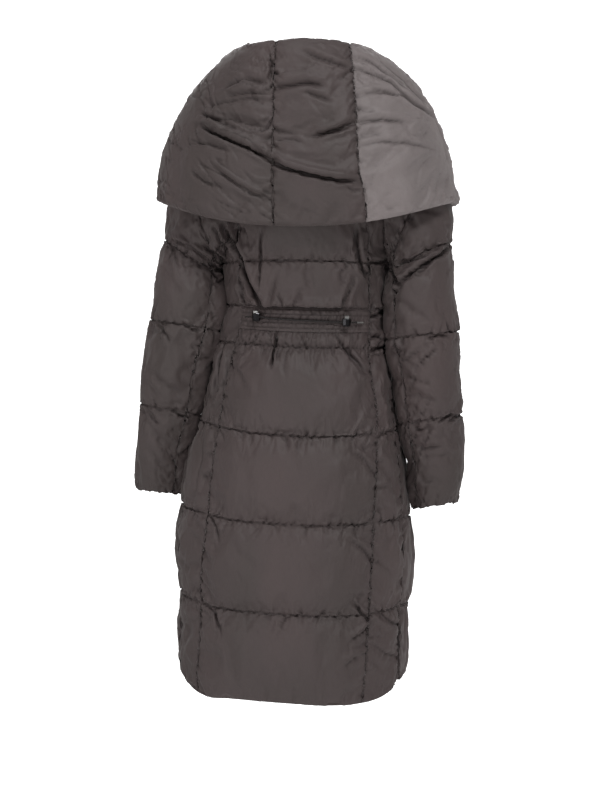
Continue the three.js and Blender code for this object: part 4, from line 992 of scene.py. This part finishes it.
def detail(patch, shell, seed):
    nv, nu = shell.shape[:2]
    n = unit(np.cross(np.gradient(shell, axis=0), np.gradient(shell, axis=1)))
    outward = upsample(upsample(patch.normal, 0), 1)
    n = np.where((np.sum(n * outward, -1) < 0)[..., None], -n, n)
    u, v = arcs(shell, 1), arcs(shell, 0)
    q = upsample(upsample(patch.q, 0), 1)
    rng = np.random.default_rng(seed)
    width = float(np.max(u[:, -1]))
    d = np.zeros((nv, nu))
    is_sleeve = patch.name.startswith("sleeve")
    is_collar = getattr(patch, "collar", False)
    for k in patch.levels:
        j = int(np.argmin(np.abs(q[:, nu // 2] - k)))
        if j == 0 and not is_sleeve and k == -971:
            continue
        away = v - v[j:j + 1]
        below = away < 0 if not is_sleeve else away > 0
        dist = np.abs(away)
        scale = 1.0 if not is_sleeve else 1.15
        if is_sleeve and k == 0:
            scale = 0.7
        up = teeth(rng, u, dist, width, (8, 27), (1.2 * scale, 3.6 * scale), (1.7, 3.2), (6, 15))
        down = teeth(rng, u, dist, width, (8, 22), (0.8 * scale, 2.3 * scale), (1.9, 3.6), (8, 24), 0.35)
        rays = teeth(rng, u, dist, width, (22, 60), (0.7, 1.5), (4.0, 7.5), (26, 55), 0.4)
        d += np.where(below, down + rays, up)
    for edge in (0, 1):
        dist = u if edge == 0 else u[:, -1:] - u
        tall = float(np.max(v[-1]))
        big = 1.25 if ("right" in patch.name and not is_collar) else 1.0
        gap, amp, reach = ((12, 40), (0.5 * big, 1.8 * big), (6, 17)) if not is_collar else ((11, 32), (1.0, 2.6), (7, 28))
        d += teeth(rng, v, dist, tall, gap, amp, (1.8, 3.6), reach, 0.6)
        if is_sleeve:
            d += teeth(rng, v - 0.45 * dist, dist, tall, (26, 62), (1.3, 2.9), (2.2, 4.2), (14, 34), 0.5)
        elif not is_collar:
            d += teeth(rng, v + 0.5 * dist, dist, tall, (34, 90), (1.0, 2.4), (2.2, 4.0), (12, 30), 0.5)
    w = 12.0 * noise2(u / 70.0, v / 70.0, seed)
    d += 0.32 * (ridged((u + w) / 19.0, (v - w) / 30.0, seed + 3) - 0.5) + 0.16 * noise2(u / 7.0, v / 9.0, seed + 5)
    if is_collar:
        high = smooth((q - 1.6) / 1.4)
        if patch.name == "collar_left":
            d += 2.1 * creases(u, v, 22, 105, 25, seed) + 1.2 * creases(u, v, 40, 80, 19, seed + 20) * (1 - high) + 1.2 * creases(u, v, -12, 70, 21, seed + 30) * high
        elif patch.name == "collar_right":
            d += 1.9 * creases(u, v, -27, 110, 23, seed) * high + 1.5 * creases(u, v, 32, 120, 24, seed + 20) * (1 - high) + 0.9 * creases(u, v, 4, 80, 20, seed + 30)
        else:
            d += 0.9 * creases(u, v, 12, 90, 30, seed) + 0.9 * creases(u, v, -35, 70, 26, seed + 20) * high
        d *= 0.45 + 0.55 * smooth((outward[..., 1] + 0.35) / 0.5)
    elif is_sleeve:
        d += 1.0 * creases(u, v, 65, 70, 27, seed) + 0.9 * creases(u, v, 125, 60, 30, seed + 20)
    else:
        d += 0.55 * creases(u, v, 68, 95, 34, seed) + 0.45 * creases(u, v, 118, 80, 38, seed + 20)
    sharp, dark = crisp(patch, shell, outward)
    # painted shade where the surface is pushed in deepest
    dark = np.maximum(dark, np.clip(-d - 1.0, 0, 2.4) / 2.4 * 0.50)
    d += sharp
    if patch.name in ("back_upper", "back_lower"):
        x = shell[..., 0]
        inside = smooth((x + 92.0) / 12.0) * smooth((74.0 - x) / 12.0)
        tuft = noise2(u / 3.6 + 0.02 * q, q / 60.0, seed + 40) + 0.7 * noise2(u / 6.2, q / 70.0, seed + 41)
        if patch.name == "back_upper":
            up = q + 346.0
            d += inside * 1.9 * tuft * np.exp(-up / 9.0)
            roll_over = inside * np.exp(-((up - 6.5) / 5.0) ** 2) * smooth(up / 2.0)
            shell = shell + np.array([0.0, 0.0, -1.0]) * (4.6 * roll_over * (1 + 0.5 * noise2(u / 16.0, 0 * u, seed + 42)))[..., None]
            # painted shadow under the roll that hangs over the top of the waist casing
            dark = np.maximum(dark, 0.75 * inside * np.exp(-(up / 2.2) ** 2))
        else:
            down = -386.0 - q
            fall = np.where(down < 27, 1.0, np.exp(-(down - 27) / 10.0))
            d += inside * 2.2 * tuft * fall * smooth(down / 4.0)
            # painted shade just below the waist casing
            dark = np.maximum(dark, 0.5 * inside * np.exp(-(down / 1.6) ** 2))
    d *= 0.4 + 0.6 * smooth(np.minimum(u, u[:, -1:] - u) / 3.5)
    # the wall is never drawn through itself, and the outline of a piece stays
    room = np.linalg.norm(shell - upsample(upsample(patch.base, 0), 1), axis=-1) - 2.0
    d = np.maximum(d, -np.maximum(room, 0.0))
    stay = np.minimum(1.0, np.minimum(np.arange(nv)[:, None], np.arange(nv - 1, -1, -1)[:, None]) / 3.0) * np.minimum(1.0, np.minimum(np.arange(nu)[None], np.arange(nu - 1, -1, -1)[None]) / 2.0 + 0.0)
    shell = shell + n * (d * stay)[..., None]
    edge = np.minimum(u, u[:, -1:] - u)
    roll = 1.1 * np.exp(-(edge / 1.4) ** 2) + 1.0 * np.exp(-(edge / 4.5) ** 2)
    for k in patch.levels:
        j = int(np.argmin(np.abs(q[:, nu // 2] - k)))
        if (j == 0 and k == -971) or (is_sleeve and k == 0):
            continue
        roll = np.maximum(roll, 1.7 * np.exp(-(np.abs(v - v[j:j + 1]) / 1.7) ** 2))
    ends = np.minimum(1.0, np.minimum(v, v[-1:] - v) / 3.0) if not is_sleeve else 1.0
    uneven = 0.75 + 0.5 * noise2(v / 6.0, u / 40.0, seed + 50)
    # painted shade from the folds, plus darker lines at piece edges and stitched rows that are partly painted shade in
    # the groove and partly the stitching's own tone
    patch.cavity = np.clip(np.maximum(dark, np.maximum((0.46 if is_collar or is_sleeve else 0.40) * np.exp(-(edge / 0.8) ** 2), 0.24 * roll / 1.7) * uneven), 0, 1)
    return shell - n * (roll * ends)[..., None]


def drawn_casing(patch, shell):
    """Rows of stitching drawn up by the cord: small uneven gathers between them."""
    u, q = arcs(shell, 1), upsample(upsample(patch.q, 0), 1)
    x = shell[..., 0]
    t = np.clip((q + 386) / 40.0, 0, 1)
    mid = np.sin(np.pi * t) ** 0.6
    open_end = smooth((x + 76.0) / 5.0) * smooth((72.0 - x) / 8.0)
    rows = (-350.0, -358.5, -372.5, -380.5)
    k = np.zeros_like(q)
    for i, line in enumerate(rows):
        k = k + (q < line)
    gather = np.zeros_like(q)
    for i in range(len(rows) + 1):
        g = noise2(u / 3.9 + 0.06 * (q + 366.0) * (1 - 2 * (i % 2)), q / 40.0, 80 + i) + 0.6 * noise2(u / 2.6, q / 25.0, 90 + i)
        gather = np.where(k == i, g, gather)
    groove = np.zeros_like(q)
    for line in rows:
        groove += np.exp(-((q - line) / 1.15) ** 2)
    tunnel = np.exp(-((q + 366.0) / 4.2) ** 2)
    end_line = np.exp(-((x + 76.0) / 1.2) ** 2) + np.exp(-((x - 72.0) / 1.2) ** 2)
    n = unit(np.cross(np.gradient(shell, axis=0), np.gradient(shell, axis=1)))
    n = np.where((n[..., 1] < 0)[..., None], -n, n)
    lift = mid * (0.35 + 0.65 * open_end) * 2.7 * gather * (1 - np.minimum(groove, 1.0)) + 0.5 * open_end * mid
    ends = [photo_mm(256, 317, 112), photo_mm(346, 322.2, 112)]
    gap, along = segment_gap(x, shell[..., 2], ends[0][0], ends[0][1], ends[1][0], ends[1][1])
    # painted shadow under the band's top edge, painted shade in the stitched grooves, gather valleys and end lines, and
    # a painted dark line along the cord between the locks
    patch.cavity = np.clip(np.maximum(0.80 * np.exp(-((q + 346.0) / 3.4) ** 2) * open_end + 0.48 * groove * mid, 0.40 * np.clip(-gather, 0, 1) * mid) + 0.4 * end_line * mid + 0.85 * np.exp(-(gap / 2.3) ** 2), 0, 1)
    lift = lift - 2.0 * groove * (0.4 + 0.6 * open_end) - 1.3 * tunnel - 1.6 * end_line * mid - 2.2 * smooth((q + 350.5) / 3.0) * (q < -346.2)
    stay = np.minimum(1.0, np.minimum(np.arange(q.shape[0])[:, None], np.arange(q.shape[0] - 1, -1, -1)[:, None]) / 2.0)
    return shell + n * (np.clip(lift, -3.6, 2.6) * stay)[..., None]


def outline(patch, p):
    """Last fit of the outline, smooth over the whole coat, so that neighbours stay together."""
    x, y, z = p[..., 0].copy(), p[..., 1].copy(), p[..., 2].copy()
    if getattr(patch, "collar", False):
        side = smooth((-x - 40.0) / 110.0)
        tall = smooth((z + 175.0) / 40.0) * (0.75 + 0.25 * smooth((z + 40.0) / -40.0))
        x = x + 11.0 * side * tall
    elif patch.name.startswith("sleeve_left"):
        out = smooth((x - (212.0 - 0.10 * z)) / 26.0)
        x = x - 9.0 * out * smooth((-z - 300.0) / 80.0) * smooth((z + 640.0) / 90.0)
    elif z.min() < -800:
        low = smooth((-z - 850.0) / 90.0)
        x = x + 9.0 * low * smooth((x - 95.0) / 70.0) - 3.0 * low * smooth((-x - 95.0) / 70.0)
        corner = np.exp(-((np.abs(x) - 150.0) / 38.0) ** 2) * smooth((y + 60.0) / 60.0)
        z = z - 6.5 * corner * smooth((-z - 900.0) / 55.0)
    return np.stack([x, y, z], -1)


def finish_piece(patch, material):
    shell = upsample(upsample(patch.shell, 0), 1)
    if not getattr(patch, "still", False) and patch.name != "waist_casing":
        shell = detail(patch, shell, 900 + sum(map(ord, patch.name)))
    elif patch.name == "waist_casing":
        shell = drawn_casing(patch, shell)
    shell, lined = outline(patch, shell), outline(patch, upsample(upsample(patch.base, 0), 1))
    nv, nu = shell.shape[:2]
    base = lined
    ri = list(range(0, nv - 1, 6)) + [nv - 1]
    ci = list(range(0, nu - 1, 6)) + [nu - 1]
    lining = base[np.ix_(ri, ci)]
    verts = np.concatenate([shell.reshape(-1, 3), lining.reshape(-1, 3)])
    S = np.arange(nv * nu).reshape(nv, nu)
    L = nv * nu + np.arange(len(ri) * len(ci)).reshape(len(ri), len(ci))
    quads = [np.stack([S[:-1, :-1], S[1:, :-1], S[1:, 1:], S[:-1, 1:]], -1).reshape(-1, 4),
             np.stack([L[:-1, :-1], L[:-1, 1:], L[1:, 1:], L[1:, :-1]], -1).reshape(-1, 4)]
    quads = np.concatenate(quads)
    tris = []
    tris += [(a, c, b) for a, b, c in zipper(S[0], ci, L[0])]
    tris += zipper(S[-1], ci, L[-1])
    tris += zipper(S[:, 0], ri, L[:, 0])
    tris += [(a, c, b) for a, b, c in zipper(S[:, -1], ri, L[:, -1])]
    tris = np.array(tris, int)
    # orientation from the volume
    v = verts
    def volume(f):
        a, b, c = v[f[:, 0]], v[f[:, 1]], v[f[:, 2]]
        return np.sum(a * np.cross(b, c))
    total = volume(quads[:, [0, 1, 2]]) + volume(quads[:, [0, 2, 3]]) + volume(tris)
    if total < 0:
        quads, tris = quads[:, ::-1], tris[:, ::-1]
    name = "cloth_" + patch.name
    mesh = bpy.data.meshes.new(name)
    mesh.vertices.add(len(verts))
    mesh.vertices.foreach_set("co", (verts * MM).astype(np.float32).ravel())
    loops = np.concatenate([quads.ravel(), tris.ravel()]).astype(np.int32)
    starts = np.concatenate([np.arange(len(quads)) * 4, len(quads) * 4 + np.arange(len(tris)) * 3]).astype(np.int32)
    mesh.loops.add(len(loops))
    mesh.loops.foreach_set("vertex_index", loops)
    mesh.polygons.add(len(starts))
    mesh.polygons.foreach_set("loop_start", starts)
    mesh.update(calc_edges=True)
    mesh.validate()
    # painted shade, with darker stitch lines at seams, is stored on the shell points; the lining gets none
    held = np.zeros(len(verts), np.float32)
    if hasattr(patch, "cavity"):
        held[:nv * nu] = patch.cavity.ravel()
    mesh.attributes.new("cavity", "FLOAT", "POINT").data.foreach_set("value", held)
    mesh.polygons.foreach_set("use_smooth", np.ones(len(mesh.polygons), bool))
    obj = bpy.data.objects.new(name, mesh)
    scene.collection.objects.link(obj)
    mesh.materials.append(material)
    patch.fine = shell
    return obj


# ------------------------------------------------------------------ materials
def new_material(name):
    m = bpy.data.materials.new(name)
    m.use_nodes = True
    return m, m.node_tree.nodes, m.node_tree.links, m.node_tree.nodes["Principled BSDF"]


def shell_material(name, dark, light, warm):
    m, nodes, links, bsdf = new_material(name)
    tex = nodes.new("ShaderNodeTexCoord")
    # broad unevenness of the dye and the two-tone yarn
    broad = nodes.new("ShaderNodeTexNoise")
    broad.inputs["Scale"].default_value = 9.0
    broad.inputs["Detail"].default_value = 5.0
    tall = nodes.new("ShaderNodeMapping")
    tall.inputs["Scale"].default_value = (1.0, 1.0, 0.42)
    links.new(tex.outputs["Object"], tall.inputs["Vector"])
    links.new(tall.outputs["Vector"], broad.inputs["Vector"])
    ramp = nodes.new("ShaderNodeValToRGB")
    ramp.color_ramp.elements[0].position = 0.32
    ramp.color_ramp.elements[0].color = (*dark, 1)
    ramp.color_ramp.elements[1].position = 0.7
    ramp.color_ramp.elements[1].color = (*light, 1)
    mid = ramp.color_ramp.elements.new(0.52)
    mid.color = (*warm, 1)
    links.new(broad.outputs["Fac"], ramp.inputs["Fac"])
    # fine yarn streaks, across and along
    stretch = nodes.new("ShaderNodeMapping")
    stretch.inputs["Scale"].default_value = (900, 900, 160)
    links.new(tex.outputs["Object"], stretch.inputs["Vector"])
    yarn = nodes.new("ShaderNodeTexNoise")
    yarn.inputs["Scale"].default_value = 1.0
    yarn.inputs["Detail"].default_value = 2.0
    links.new(stretch.outputs["Vector"], yarn.inputs["Vector"])
    tint = nodes.new("ShaderNodeMix")
    tint.data_type = "RGBA"
    tint.blend_type = "MULTIPLY"
    tint.inputs[0].default_value = 0.22
    links.new(ramp.outputs["Color"], tint.inputs[6])
    yr = nodes.new("ShaderNodeValToRGB")
    yr.color_ramp.elements[0].position = 0.3
    yr.color_ramp.elements[0].color = (0.6, 0.6, 0.6, 1)
    yr.color_ramp.elements[1].position = 0.7
    links.new(yarn.outputs["Fac"], yr.inputs["Fac"])
    links.new(yr.outputs["Color"], tint.inputs[7])
    # painted shade: the stored per-point shade darkens the base colour down to 0.12 and dims the specular in fold
    # bottoms, under overhangs and in grooves; along seams and stitched rows it also stands for the darker stitching
    cavity = nodes.new("ShaderNodeAttribute")
    cavity.attribute_name = "cavity"
    deep = nodes.new("ShaderNodeMapRange")
    deep.inputs["To Min"].default_value = 1.0
    deep.inputs["To Max"].default_value = 0.12
    links.new(cavity.outputs["Fac"], deep.inputs["Value"])
    shade = nodes.new("ShaderNodeVectorMath")
    shade.operation = "SCALE"
    links.new(tint.outputs[2], shade.inputs[0])
    links.new(deep.outputs["Result"], shade.inputs["Scale"])
    links.new(shade.outputs["Vector"], bsdf.inputs["Base Color"])
    gloss = nodes.new("ShaderNodeMath")
    gloss.operation = "MULTIPLY"
    gloss.inputs[1].default_value = 0.39
    links.new(deep.outputs["Result"], gloss.inputs[0])
    links.new(gloss.outputs["Value"], bsdf.inputs["Specular IOR Level"])
    # weave and fine crinkle
    weave = nodes.new("ShaderNodeTexNoise")
    weave.inputs["Scale"].default_value = 1400.0
    weave.inputs["Detail"].default_value = 1.0
    links.new(tex.outputs["Object"], weave.inputs["Vector"])
    crinkle = nodes.new("ShaderNodeTexNoise")
    crinkle.inputs["Scale"].default_value = 95.0
    crinkle.inputs["Detail"].default_value = 4.0
    crinkle.inputs["Roughness"].default_value = 0.55
    crinkle.inputs["Distortion"].default_value = 0.6
    links.new(tex.outputs["Object"], crinkle.inputs["Vector"])
    b1 = nodes.new("ShaderNodeBump")
    b1.inputs["Strength"].default_value = 0.22
    b1.inputs["Distance"].default_value = 0.0018
    links.new(crinkle.outputs["Fac"], b1.inputs["Height"])
    b2 = nodes.new("ShaderNodeBump")
    b2.inputs["Strength"].default_value = 0.12
    b2.inputs["Distance"].default_value = 0.0003
    links.new(weave.outputs["Fac"], b2.inputs["Height"])
    links.new(b1.outputs["Normal"], b2.inputs["Normal"])
    links.new(b2.outputs["Normal"], bsdf.inputs["Normal"])
    rough = nodes.new("ShaderNodeMapRange")
    rough.inputs["To Min"].default_value = 0.54
    rough.inputs["To Max"].default_value = 0.66
    links.new(broad.outputs["Fac"], rough.inputs["Value"])
    links.new(rough.outputs["Result"], bsdf.inputs["Roughness"])
    bsdf.inputs["Sheen Weight"].default_value = 0.12
    bsdf.inputs["Sheen Roughness"].default_value = 0.45
    bsdf.inputs["Sheen Tint"].default_value = (0.75, 0.70, 0.68, 1)
    return m


SHELL = shell_material("shell_satin", (0.0532, 0.0412, 0.0390), (0.0668, 0.0486, 0.0474), (0.0600, 0.0448, 0.0438))
# painted sheen: a lighter copy of the shell colours for the right collar panel, standing in for light glancing off that
# panel
SHELL_PAINTED_SHEEN = shell_material("shell_satin_turned", (0.150, 0.130, 0.128), (0.184, 0.158, 0.156), (0.167, 0.143, 0.141))
LOOKS = {}
PIECES = {}
for patch in PATCHES:
    obj = finish_piece(patch, SHELL_PAINTED_SHEEN if patch.name == "collar_right" else SHELL)
    PIECES[patch.name] = obj
    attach(obj, "coat")
    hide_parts(patch.name)

# ------------------------------------------------------------------ hardware looks
def metal(name, colour, rough):
    m, nodes, links, bsdf = new_material(name)
    bsdf.inputs["Metallic"].default_value = 1.0
    tex = nodes.new("ShaderNodeTexCoord")
    n = nodes.new("ShaderNodeTexNoise")
    n.inputs["Scale"].default_value = 420.0
    n.inputs["Detail"].default_value = 3.0
    links.new(tex.outputs["Object"], n.inputs["Vector"])
    r = nodes.new("ShaderNodeMapRange")
    r.inputs["To Min"].default_value = rough * 0.7
    r.inputs["To Max"].default_value = rough * 1.5
    links.new(n.outputs["Fac"], r.inputs["Value"])
    links.new(r.outputs["Result"], bsdf.inputs["Roughness"])
    mix = nodes.new("ShaderNodeMix")
    mix.data_type = "RGBA"
    mix.inputs[6].default_value = (*colour, 1)
    mix.inputs[7].default_value = (*[c * 0.6 for c in colour], 1)
    links.new(n.outputs["Fac"], mix.inputs[0])
    links.new(mix.outputs[2], bsdf.inputs["Base Color"])
    return m


DARK = metal("lock_gunmetal", (0.085, 0.083, 0.088), 0.28)
BRIGHT = metal("lock_bright", (0.94, 0.93, 0.91), 0.34)
CORD, nodes, links, bsdf = new_material("cord_braid")
tex = nodes.new("ShaderNodeTexCoord")
wave = nodes.new("ShaderNodeTexWave")
wave.inputs["Scale"].default_value = 260.0
wave.bands_direction = "DIAGONAL"
links.new(tex.outputs["Object"], wave.inputs["Vector"])
ramp = nodes.new("ShaderNodeValToRGB")
ramp.color_ramp.elements[0].color = (0.010, 0.008, 0.008, 1)
ramp.color_ramp.elements[1].color = (0.026, 0.021, 0.020, 1)
links.new(wave.outputs["Fac"], ramp.inputs["Fac"])
links.new(ramp.outputs["Color"], bsdf.inputs["Base Color"])
bump = nodes.new("ShaderNodeBump")
bump.inputs["Distance"].default_value = 0.0004
links.new(wave.outputs["Fac"], bump.inputs["Height"])
links.new(bump.outputs["Normal"], bsdf.inputs["Normal"])
bsdf.inputs["Roughness"].default_value = 0.7

for node, mat in (("lock_left_body", DARK), ("lock_right_body", DARK), ("lock_left_plunger", BRIGHT),
                  ("lock_right_plunger", BRIGHT), ("cord_tip", BRIGHT), ("drawcord", CORD)):
    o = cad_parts[node]
    o.data.materials.clear()
    o.data.materials.append(mat)

# ------------------------------------------------------------------ studio
floor_mesh = bpy.data.meshes.new("studio_floor")
ys = [6.0, 1.0, -1.6]
profile = [(y, -1.42) for y in (9.0, 3.0, -2.2)]
profile += [(-2.2 - 1.6 * math.sin(a), -1.42 + 1.6 * (1 - math.cos(a))) for a in np.linspace(0.15, math.pi / 2, 12)]
profile += [(-3.8, 3.5), (-3.8, 6.0)]
vs, fs = [], []
for y, z in profile:
    vs += [(-9.0, y, z), (9.0, y, z)]
for k in range(len(profile) - 1):
    fs.append((2 * k, 2 * k + 1, 2 * k + 3, 2 * k + 2))
floor_mesh.from_pydata(vs, [], fs)
floor_mesh.polygons.foreach_set("use_smooth", [True] * len(fs))
floor = bpy.data.objects.new("studio_floor", floor_mesh)
scene.collection.objects.link(floor)
FLOOR, nodes, links, bsdf = new_material("studio_white")
bsdf.inputs["Base Color"].default_value = (0.5, 0.5, 0.5, 1)
bsdf.inputs["Roughness"].default_value = 0.9
bsdf.inputs["Emission Color"].default_value = (1, 1, 1, 1)
bsdf.inputs["Emission Strength"].default_value = 1.0
floor_mesh.materials.append(FLOOR)
floor.visible_glossy = False

round_mesh = bpy.data.meshes.new("studio_round")
vs, fs = [], []
for i in range(13):
    a = math.pi * i / 12
    for j in range(24):
        b = 2 * math.pi * j / 24
        vs.append((14 * math.sin(a) * math.cos(b), 14 * math.sin(a) * math.sin(b), 14 * math.cos(a)))
for i in range(12):
    for j in range(24):
        fs.append((24 * i + j, 24 * i + (j + 1) % 24, 24 * (i + 1) + (j + 1) % 24, 24 * (i + 1) + j))
round_mesh.from_pydata(vs, [], fs)
surround = bpy.data.objects.new("studio_round", round_mesh)
scene.collection.objects.link(surround)
round_mesh.materials.append(FLOOR)
surround.visible_diffuse = surround.visible_glossy = surround.visible_transmission = surround.visible_shadow = False

world = bpy.data.worlds.new("studio")
world.use_nodes = True
world.node_tree.nodes["Background"].inputs[0].default_value = (1, 1, 1, 1)
world.node_tree.nodes["Background"].inputs[1].default_value = 0.17
scene.world = world


def area(name, location, aim, size, power, size_y=None):
    light = bpy.data.lights.new(name, "AREA")
    light.energy = power
    light.size = size
    if size_y:
        light.shape = "RECTANGLE"
        light.size_y = size_y
    o = bpy.data.objects.new(name, light)
    scene.collection.objects.link(o)
    o.location = location
    o.rotation_euler = (Vector(aim) - Vector(location)).to_track_quat("-Z", "Y").to_euler()
    return o


area("key", (-1.5, 2.7, 2.4), (0, 0, -0.3), 0.70, 70, 0.85)
area("fill", (2.2, 3.2, 0.5), (0, 0, -0.4), 1.2, 17, 1.6)
area("top", (0.2, 0.9, 2.6), (0, 0, -0.3), 1.0, 22)
area("low", (0.6, 3.3, -1.0), (0, 0, -0.20), 1.4, 12, 0.8)
area("front", (0.5, -2.9, 1.2), (0, 0, -0.5), 2.0, 70, 2.4)

scene.view_settings.view_transform = "Standard"
scene.view_settings.look = "None"
